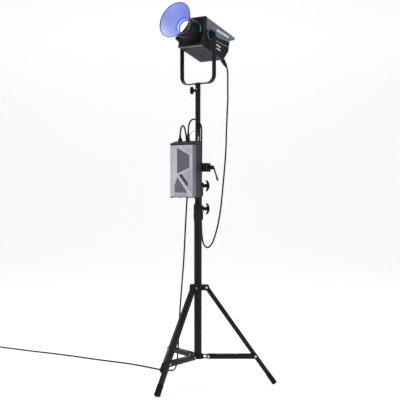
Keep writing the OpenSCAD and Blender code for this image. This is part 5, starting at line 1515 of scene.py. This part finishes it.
# wall plug on the end of the mains cord, lying on the floor
def wall_plug_piece():
    fr = ROW @ T(-1273, 1112, 0)
    v, f = [], []
    prof = [(-78, 11.2, 8.2), (-77.2, 12, 9.0), (-62, 12, 9.0), (-60, 11.2, 8.4), (-48, 11.2, 8.4), (-44, 10.6, 8.0), (-39.5, 8.6, 7.0), (-38, 6.6, 6.2)]
    cnt = None
    for y, hx, hz in prof:
        ring = rrect_pts(0, 9, 2 * hx, 2 * hz, min(hx, hz) * 0.55, 5)
        cnt = len(ring)
        v += [(x, y, z) for x, z in ring]
    for j in range(len(prof) - 1):
        for i in range(cnt):
            f.append((j * cnt + i, j * cnt + (i + 1) % cnt, (j + 1) * cnt + (i + 1) % cnt, (j + 1) * cnt + i))
    f += [tuple(range(cnt)), tuple((len(prof) - 1) * cnt + i for i in range(cnt))[::-1]]
    parts = [raw("wp", v, f, fr, m_plug, True, 30)]
    for s in (-1, 1):
        for k in range(4):
            parts.append(box("wp_r", (-0.5, 0, 4.4), (0.5, 1.3, 13.6), fr, m_plug, 0.3, 1, T(s * 11.2, -58 + 3 * k, 0)))
        parts.append(lathe("wp_p", rounded([(0, 0), (2, 0), (2, 9), (1.9, 9.2), (1.95, 15), (1.4, 16), (0, 16)], 0.2), fr @ T(6 * s, -77.9, 9) @ ZYN, m_brass, 28))
    parts.append(relief("wp_s", fr @ T(0, -38.4, 9) @ ZY, 6.0, 4.6, 0, 14, 5, m_plug))
    return join("wall_plug_piece", parts)
wp = go(wall_plug_piece(), "column", "cable_rubber", "wall_plug")

# two ties round the coil
def ties():
    parts = []
    for a in (60, 285):
        fr = ROW @ T(CC[0], CC[1], 0) @ RZ(a)
        pts = round_poly([(20.4, 0.1), (55.0, 0.1), (55.0, 15.9), (20.4, 15.9)], 3.2, 4)
        inn = round_poly([(21.1, 0.7), (54.3, 0.7), (54.3, 15.2), (21.1, 15.2)], 2.6, 4)[::-1]
        parts.append(plate("tie", [pts, inn], 9, fr, m_foot, 0.25, 1, RX(90)))
        parts.append(box("tie_b", (53.6, -5.2, 5), (55.0, 5.2, 11.4), fr, m_foot, 0.4, 2))
    return join("coil_ties", parts)
tie = ties()
go(tie, "column", "cable_rubber")

# =================================================================== CORDS
def P3(p): return [tuple(float(x) for x in q) for q in p]
P3(p_hu)[0]
P3(p_hu)
P3(p_hl)[0]
P3(p_hl)
P3(p_mu)[0]
P3(p_mu)
P3(p_ml)[0]
P3(p_ml)

# =================================================================== CAD nodes that stay as they are
def keep(node, material, slot_name=None, w=0.5):
    o = frame["nodes"][node]
    o.data.materials.clear()
    o.data.materials.append(material)
    b = o.modifiers.new("edge", "BEVEL")
    b.width = w * MM; b.segments = 2; b.limit_method = "ANGLE"; b.angle_limit = math.radians(40)
    return o
keep("led_module", m_led)
keep("heat_sink", m_alu, w=0.25)
keep("fan_frame", m_knob, w=0.8)
keep("fan_rotor", m_knob, w=0.5)

# =================================================================== stage and light
def stage_mesh():
    n = 24
    prof = [(-9.0, 0.0), (6.0, 0.0)] + [(6.0 + 3.0 * math.sin(math.radians(90 * k / n)), 3.0 - 3.0 * math.cos(math.radians(90 * k / n))) for k in range(1, n + 1)] + [(9.0, 9.0)]
    v, f = [], []
    for y, z in prof:
        v += [(-12, y, z - 0.0004), (12, y, z - 0.0004)]
    for i in range(len(prof) - 1):
        f.append((2 * i, 2 * i + 1, 2 * i + 3, 2 * i + 2))
    me = bpy.data.meshes.new("stage")
    me.from_pydata(v, [], f)
    me.polygons.foreach_set("use_smooth", [True] * len(me.polygons))
    return me
sm = bpy.data.materials.new("stage_white"); sm.use_nodes = True
nt = sm.node_tree; nt.nodes.clear()
o_ = nt.nodes.new("ShaderNodeOutputMaterial"); p_ = nt.nodes.new("ShaderNodeBsdfPrincipled")
p_.inputs["Base Color"].default_value = (0.9, 0.9, 0.9, 1); p_.inputs["Roughness"].default_value = 0.9
p_.inputs["Specular IOR Level"].default_value = 0.0
p_.inputs["Emission Color"].default_value = (1, 1, 1, 1); p_.inputs["Emission Strength"].default_value = 0.34
nt.links.new(p_.outputs[0], o_.inputs[0])
stage = bpy.data.objects.new("stage", stage_mesh()); scene.collection.objects.link(stage)
stage.data.materials.append(sm)

w = bpy.data.worlds.new("studio"); scene.world = w; w.use_nodes = True
bg = w.node_tree.nodes["Background"]; bg.inputs["Color"].default_value = (1, 1, 1, 1); bg.inputs["Strength"].default_value = 0.4

def area(name, loc, target, size, power, col=(1, 1, 1)):
    d = bpy.data.lights.new(name, "AREA"); d.shape = "RECTANGLE"; d.size, d.size_y = size; d.energy = power; d.color = col
    o = bpy.data.objects.new(name, d); scene.collection.objects.link(o)
    o.location = loc
    o.rotation_euler = (Vector(target) - Vector(loc)).to_track_quat("-Z", "Y").to_euler()
    return o
area("key", (-2.6, -3.2, 3.2), (0, 0, 1.1), (1.8, 2.4), 108)
area("fill", (3.0, -2.6, 1.6), (0, 0, 0.9), (1.6, 2.6), 32)
area("top", (0.2, 0.6, 4.2), (0, 0, 0.9), (2.6, 2.6), 40)
area("floor_wash", (0, 3.0, 4.5), (0, 5.0, 0.0), (6, 3), 40)

scene.view_settings.view_transform = "Standard"
scene.view_settings.look = "None"
scene.view_settings.exposure = 0.0
scene.view_settings.gamma = 1.0
